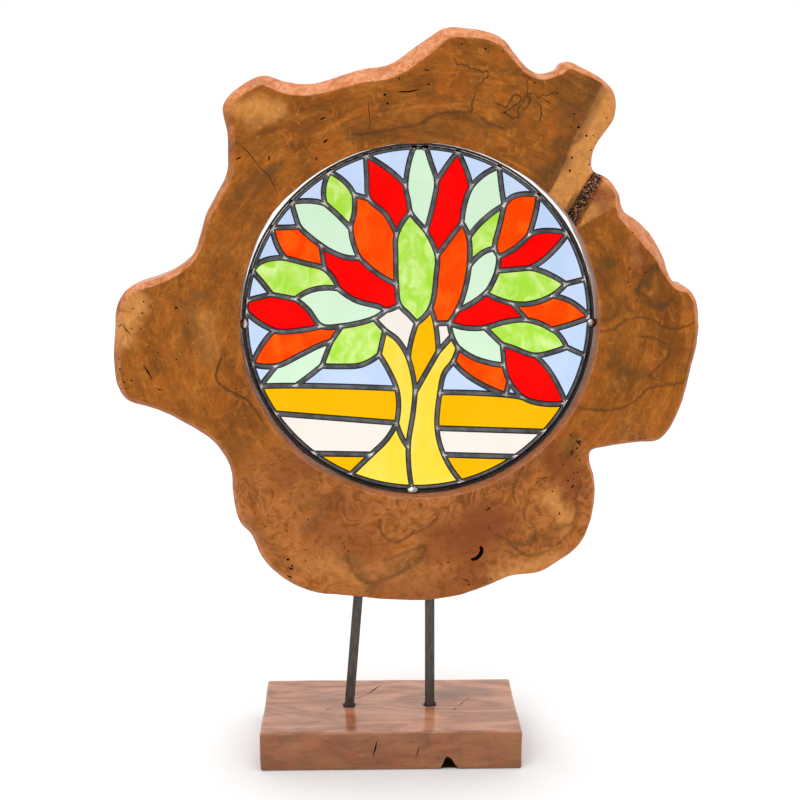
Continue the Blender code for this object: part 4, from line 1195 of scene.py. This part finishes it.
def make_leading(edges, look):
    bm = bmesh.new()
    fronts, backs = [], []
    rims = [ring(bm, circle(radius), -height) for radius, height in reversed(RIM_SECTION)]
    rims += [ring(bm, circle(radius), height) for radius, height in RIM_SECTION]
    for first, second in zip(rims, rims[1:]):
        band(bm, first, second)
    fronts.append(rims[0])
    backs.append(rims[-1])
    for _, _, names in PANES + RIM_PANES:
        sides = sides_of(names.split(), edges)
        section = [(d, -y) for d, y in reversed(CAME_SECTION)]
        section += [(HEART_HALF, -CAME_SECTION[0][1]), (HEART_HALF, CAME_SECTION[0][1])]
        section += list(CAME_SECTION)
        outlines = {d: inset(sides, d) for d in {d for d, _ in section}}
        rings = [ring(bm, outlines[d], y) for d, y in section]
        for first, second in zip(rings, rings[1:]):
            band(bm, first, second)
        fronts.append(rings[0])
        backs.append(rings[-1])
    fill(bm, fronts)
    fill(bm, backs)
    piece = add_piece("came_net", mesh_of(bm, "came_net"), look, 40)
    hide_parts("leading")
    return piece


def came_directions(edges):
    """For each meeting point, the directions in which cames leave it."""
    found = {}
    for (first, _), curve in edges.items():
        out = curve[min(3, len(curve) - 1)] - curve[0]
        found.setdefault(first, []).append(math.atan2(out.y, out.x))
    for name, degrees in RIM.items():
        found[name] += [math.radians(degrees + 90), math.radians(degrees - 90)]
    return found


def make_joints(edges, look):
    """Solder flowed over each meeting of cames, drawn out a little along them, on both faces."""
    bm = bmesh.new()
    rng = np.random.default_rng(11)
    spokes, steps = JOINT_SPOKES, JOINT_STEPS
    for name, directions in came_directions(edges).items():
        centre = place(name)
        if name in RIM:
            centre = centre * (RIM_LINE - 0.4) / RIM_LINE
        for face in (-1, 1):
            top = rng.uniform(2.65, 2.9)
            waist, arm = rng.uniform(1.7, 2.1), rng.uniform(0.6, 1.4)
            loops = []
            ripple = rng.uniform(0.9, 1.1, spokes)
            for step in range(1, steps + 1):
                share = step / steps
                loop = []
                for spoke in range(spokes):
                    angle = 2 * math.pi * spoke / spokes
                    turns = [(angle - d + math.pi) % (2 * math.pi) - math.pi for d in directions]
                    along = max(math.exp(-((t / ARM_SPREAD) ** 2)) for t in turns)
                    reach = (waist + arm * along) * (0.5 * ripple[spoke] + 0.5)
                    edge = JOINT_FOOT + 0.98 * along
                    height = edge + (top - edge) * (1 - share**2) ** 0.7
                    x = centre.x + share * reach * math.cos(angle)
                    z = centre.y + share * reach * math.sin(angle)
                    where = (CENTRE.x + x, face * height, CENTRE.z + z)
                    loop.append(bm.verts.new(MM * Vector(where)))
                loops.append(loop)
            for inner, outer in zip(loops, loops[1:]):
                band(bm, inner, outer)
            x, z = CENTRE.x + centre.x, CENTRE.z + centre.y
            for loop, height in ((loops[0], top), (loops[-1], JOINT_FOOT)):
                peak = bm.verts.new(MM * Vector((x, face * height, z)))
                for first, second in zip(loop, loop[1:] + loop[:1]):
                    bm.faces.new((first, second, peak))
    return add_piece("solder_joints", mesh_of(bm, "solder_joints"), look, 60)


def make_lump(name, degrees, radius, around, out, look):
    """A lump of solder on the rim, drawn out along it."""
    bm = bmesh.new()
    bmesh.ops.create_icosphere(bm, subdivisions=4, radius=1)
    angle = math.radians(degrees)
    outward = Vector((math.cos(angle), 0, math.sin(angle)))
    tangent = Vector((-math.sin(angle), 0, math.cos(angle)))
    points = np.array([tuple(v.co) for v in bm.verts])
    bumps = 1 + 0.07 * waves(points, 0.9, round(degrees) % 97) + 0.03 * waves(points, 0.4, 5)
    middle = Vector((CENTRE.x, 0, CENTRE.z)) + radius * outward + Vector((0, -2.9, 0))
    for vertex, bump in zip(bm.verts, bumps):
        local = vertex.co * float(bump)
        moved = local.x * around * tangent + local.z * out * outward
        vertex.co = MM * (middle + moved + Vector((0, 2.3 * local.y, 0)))
    return add_piece(name, mesh_of(bm, name), look, 60)


def make_rim_pane(name, names, edges, look):
    outline = inset(sides_of(names.split(), edges), GLASS_INSET)
    bm = bmesh.new()
    faces = [ring(bm, outline, -GLASS_HALF), ring(bm, outline, GLASS_HALF)]
    band(bm, *faces)
    bm.faces.new(faces[0])
    bm.faces.new(faces[1])
    return add_piece(name, mesh_of(bm, name), look)


# Base block: cracks on the top as width, depth, points right and back of its centre
TOP_CRACKS = (
    (1.3, 3, (-17.5, 21), (-12, 31), (-6.5, 41)), (0.8, 2, (-26, 12), (-18.5, 20)),
    (0.9, 2, (-49, -9), (-44.5, -4)), (1.3, 3, (47, -11), (49.5, -8)),
    (0.8, 2, (51, -5), (55, 3), (58, 8)), (0.7, 2, (58.5, 9), (61.5, 14)),
)
FRONT_CRACKS = (
    (1.4, 3, (-10.5, 22.5), (-11.5, 17), (-13.5, 11)), (0.9, 2, (20.5, 18), (18, 10)),
)
FRONT_VOID = (
    (34, -2), (35, 1.5), (36.8, 5), (38, 8.6), (39.8, 11), (41.5, 10.2), (43.5, 9.6), (45.5, 7),
    (47.2, 3.6), (50, 1), (50.5, -2),
)
TOP_STAINS = (
    (-66.6, -46.4, -66.5, -46.4, 6.5, 0.5), (-88.8, -45.8, -88.7, -45.8, 4, 0.6),
    (40, 22, 70, 24, 14, 0.5), (-60, 20, -40, 0, 16, 0.3), (20, 10, 50, 30, 16, 0.3),
)
FRONT_STAINS = (
    (26, 25, 22, 21, 5, 0.7), (20, 17, 17, 8, 4, 0.5), (-86, 4, -60, 6, 9, 0.4),
    (-66, 22, -58, 8, 7, 0.35), (4, 24, 2, 6, 6, 0.35), (78, 22, 82, 6, 6, 0.35),
    (32, 6, 36, 12, 5, 0.5), (48, 10, 56, 4, 6, 0.4),
)


def front_loop(bm, outline, depth):
    return [bm.verts.new(MM * Vector((p.x, depth, p.y))) for p in outline]


def top_loop(bm, outline, height):
    return [bm.verts.new(MM * Vector((p.x, p.y, height))) for p in outline]


def base_cutters(feet):
    bm = bmesh.new()
    front, top = -BASE_SIZE.y / 2, BASE_SIZE.z
    for width, depth, *points in TOP_CRACKS:
        prism(bm, crack_outline(width, points), top + 3, top - depth, 0.9, top_loop)
    for width, depth, *points in FRONT_CRACKS:
        prism(bm, crack_outline(width, points), front - 3, front + depth, 0.9, front_loop)
    prism(bm, [Vector(p) for p in FRONT_VOID], front - 4, front + 9, 0.45, front_loop)
    rng = np.random.default_rng(19)
    for foot in feet:
        outline = []
        for i in range(22):
            angle = 2 * math.pi * i / 22
            reach = square_reach(angle, 4.6, 5.6) * rng.uniform(0.94, 1.16)
            outline.append(Vector((foot + reach * math.cos(angle), reach * math.sin(angle))))
        prism(bm, outline, top + 3, top - 2.2, 0.95, top_loop)
    return bm


def make_base(look, hollow, feet):
    bm = bmesh.new()
    bmesh.ops.create_cube(bm, size=1)
    bmesh.ops.scale(bm, vec=BASE_SIZE * MM, verts=bm.verts)
    bmesh.ops.translate(bm, vec=(0, 0, BASE_SIZE.z / 2 * MM), verts=bm.verts)
    bmesh.ops.bevel(bm, geom=bm.edges, offset=1.7 * MM, segments=4, affect="EDGES", profile=0.5)
    for axis, length in enumerate(BASE_SIZE):
        count = round(length / 4)
        start = 0 if axis == 2 else -length / 2
        for i in range(1, count):
            spot, way = Vector((0, 0, 0)), Vector((0, 0, 0))
            spot[axis] = (start + length * i / count) * MM
            way[axis] = 1
            geom = bm.verts[:] + bm.edges[:] + bm.faces[:]
            bmesh.ops.bisect_plane(bm, geom=geom, plane_co=spot, plane_no=way)
    mesh = mesh_of(bm, "base_wood")
    co = points_of(mesh).astype(float)
    soft = 0.28 * waves(co / MM, 34, 91) * fade(co[:, 2] / MM, 0.5, 8)
    middle = np.array((0, 0, BASE_SIZE.z / 2 * MM))
    out = (co - middle) / (np.array(BASE_SIZE) / 2 * MM)
    co += MM * soft[:, None] * out**5
    mesh.vertices.foreach_set("co", co.astype(np.float32).ravel())
    base = add_piece("base_wood", mesh, look)
    cut_away(base, base_cutters(feet), hollow)
    mesh = base.data
    co = points_of(mesh) / MM
    on_top = fade(co[:, 2], BASE_SIZE.z - 1.5, BASE_SIZE.z - 0.5)
    on_front = fade(-co[:, 1], BASE_SIZE.y / 2 - 1.5, BASE_SIZE.y / 2 - 0.5)
    top = stained(co[:, (0, 1)], TOP_STAINS, 101) * on_top
    front = stained(co[:, (0, 2)], FRONT_STAINS, 111) * on_front
    # stains on the top and front, plus painted shade that darkens the whole front face a little
    set_attribute(mesh, "dark", np.maximum(top, np.maximum(front, 0.28 * on_front)))
    set_attribute(mesh, "top", on_top)
    mesh.shade_smooth()
    mesh.set_sharp_from_angle(angle=math.radians(48))
    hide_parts("base_block")
    return base


def make_glue(name, foot, look):
    """A ragged collar of glue and dust round a bar's foot."""
    bm = bmesh.new()
    rng = np.random.default_rng(round(abs(foot) * 10))
    around, section = 48, 8
    loops = []
    for i in range(around):
        angle = 2 * math.pi * i / around
        spine = square_reach(angle, 3.9, 5.0) + 0.3
        thick = rng.uniform(0.55, 1.1)
        loop = []
        for j in range(section):
            turn = 2 * math.pi * j / section
            reach = spine + thick * math.cos(turn)
            height = BASE_SIZE.z - 0.5 + 0.8 * thick * math.sin(turn)
            where = (foot + reach * math.cos(angle), reach * math.sin(angle), height)
            loop.append(bm.verts.new(MM * Vector(where)))
        loops.append(loop)
    for first, second in zip(loops, loops[1:] + loops[:1]):
        band(bm, first, second)
    return add_piece(name, mesh_of(bm, name), look, 60)


SIDES = ("left", "right")
METALS = {  # name: dark colour of patina and of painted edge shade, middle colour, roughness from and to, metallic
    "glue": (rgb(44, 30, 20), rgb(96, 66, 40), 0.5, 0.7, 0),
    "lead_came": (rgb(30, 31, 35), rgb(98, 99, 101), 0.34, 0.44, 0.7),
    "bright_solder": (rgb(92, 90, 90), rgb(206, 202, 198), 0.18, 0.3, 1),
    "hoop_steel": (rgb(38, 33, 32), rgb(70, 62, 60), 0.36, 0.5, 0.8),
}


def make_all():
    wood, hollow = wood_look(), hollow_look()
    make_slab(wood, hollow)
    feet = [middle_foot("support_bar_" + side) for side in SIDES]
    make_base(base_look(), hollow, feet)
    metal = {name: lead_look(name, *values) for name, values in METALS.items()}
    for side, foot in zip(SIDES, feet):
        make_glue("glue_" + side, foot, metal["glue"])
    edges = came_edges()
    make_leading(edges, metal["lead_came"])
    make_joints(edges, metal["bright_solder"])
    for lump in LUMPS:
        make_lump(*lump, metal["bright_solder"])
    glass = {name: glass_look(name) for name in GLASS}
    for name, kind, _ in PANES:
        paint(name, glass[kind])
    for name, kind, names in RIM_PANES:
        make_rim_pane(name, names, edges, glass[kind])
    steel = steel_look()
    for side in SIDES:
        paint("support_bar_" + side, steel)
    paint("hoop", metal["hoop_steel"])
    for side in ("top", "right", "bottom", "left"):
        paint("pin_" + side, metal["bright_solder"])


def paint(node, look):
    """Gives a CAD node its look."""
    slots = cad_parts[node].material_slots
    for slot in slots:
        slot.material = look
    if not slots:
        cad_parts[node].data.materials.append(look)


def middle_foot(node):
    """Where a leaning bar comes out of the base block, from the bar's own box."""
    low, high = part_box(node)
    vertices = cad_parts[node].data.vertices
    foot = [v.co.x for v in vertices if v.co.z < low.z + 0.003]
    head = [v.co.x for v in vertices if v.co.z > high.z - 0.003]
    share = (BASE_SIZE.z * MM - low.z) / (high.z - low.z)
    start, end = sum(foot) / len(foot), sum(head) / len(head)
    return (start + share * (end - start)) / MM


# ---------------------------------------------------------------- stage


WORLD_STRENGTH = 1.05
# Sizes and places in metres
FLOOR_SIZE = 14
LIGHTS_AIM = (0, 0, 0.3)
LIGHTS = (  # name, watts, size, place
    ("key", 11, (1.1, 1.1), (-0.9, -1.4, 1.5)), ("top", 8, (1.2, 0.8), (0.1, 0.1, 1.7)),
)
CAMERA_PLACE = (-0.0189, -1.1271, 0.4905)
CAMERA_AIM = (0.0075, 0, 0.264)
LENS, SENSOR = 71.2, 36  # in millimetres


def area_light(name, energy, size, where, target):
    data = bpy.data.lights.new(name, "AREA")
    data.shape = "RECTANGLE"
    data.size, data.size_y = size
    data.energy = energy
    obj = bpy.data.objects.new(name, data)
    bpy.context.scene.collection.objects.link(obj)
    obj.location = where
    obj.rotation_euler = (Vector(target) - Vector(where)).to_track_quat("-Z", "Y").to_euler()


def grey(level):
    return (level, level, level, 1)


def make_world():
    world = bpy.data.worlds.new("studio")
    world.use_nodes = True
    background = world.node_tree.nodes["Background"]
    background.inputs["Color"].default_value = grey(1)
    background.inputs["Strength"].default_value = WORLD_STRENGTH
    bpy.context.scene.world = world


def floor_look():
    """A pale floor with painted shadow, a little darker near the object so that its shadow keeps some
    depth, and painted light, lighter far off where the lamps fade.
    """
    look = Look("pale_floor")
    place_mm = look.place()
    speck = look.noise(place_mm, 40, detail=2)
    away = look.add("VectorMath", {"Vector": place_mm}, operation="LENGTH").outputs["Value"]
    # painted shadow round the object, then painted light far off
    near = look.mix(speck, grey(0.75), grey(0.77))
    middle = look.mix(look.spread(away, 70, 190), near, grey(0.88))
    far = look.spread(away, 400, 2200)
    look.set(Base_Color=look.mix(far, middle, grey(0.97)), Roughness=0.9)
    look.set(Specular_IOR_Level=0.0)
    return look.material


def make_floor():
    bpy.ops.mesh.primitive_plane_add(size=FLOOR_SIZE)
    floor = bpy.context.object
    floor.name = "floor"
    floor.data.materials.append(floor_look())


def make_camera():
    camera = bpy.data.cameras.new("camera")
    camera.lens = LENS
    camera.sensor_width = SENSOR
    obj = bpy.data.objects.new("camera", camera)
    bpy.context.scene.collection.objects.link(obj)
    obj.location = CAMERA_PLACE
    aim = Vector(CAMERA_AIM) - obj.location
    obj.rotation_euler = aim.to_track_quat("-Z", "Y").to_euler()
    bpy.context.scene.camera = obj


def make_stage():
    bpy.context.scene.view_settings.view_transform = "Standard"
    bpy.context.scene.view_settings.look = "None"
    make_world()
    make_floor()
    for name, watts, size, where in LIGHTS:
        area_light(name, watts, size, where, LIGHTS_AIM)
    make_camera()


make_all()
make_stage()
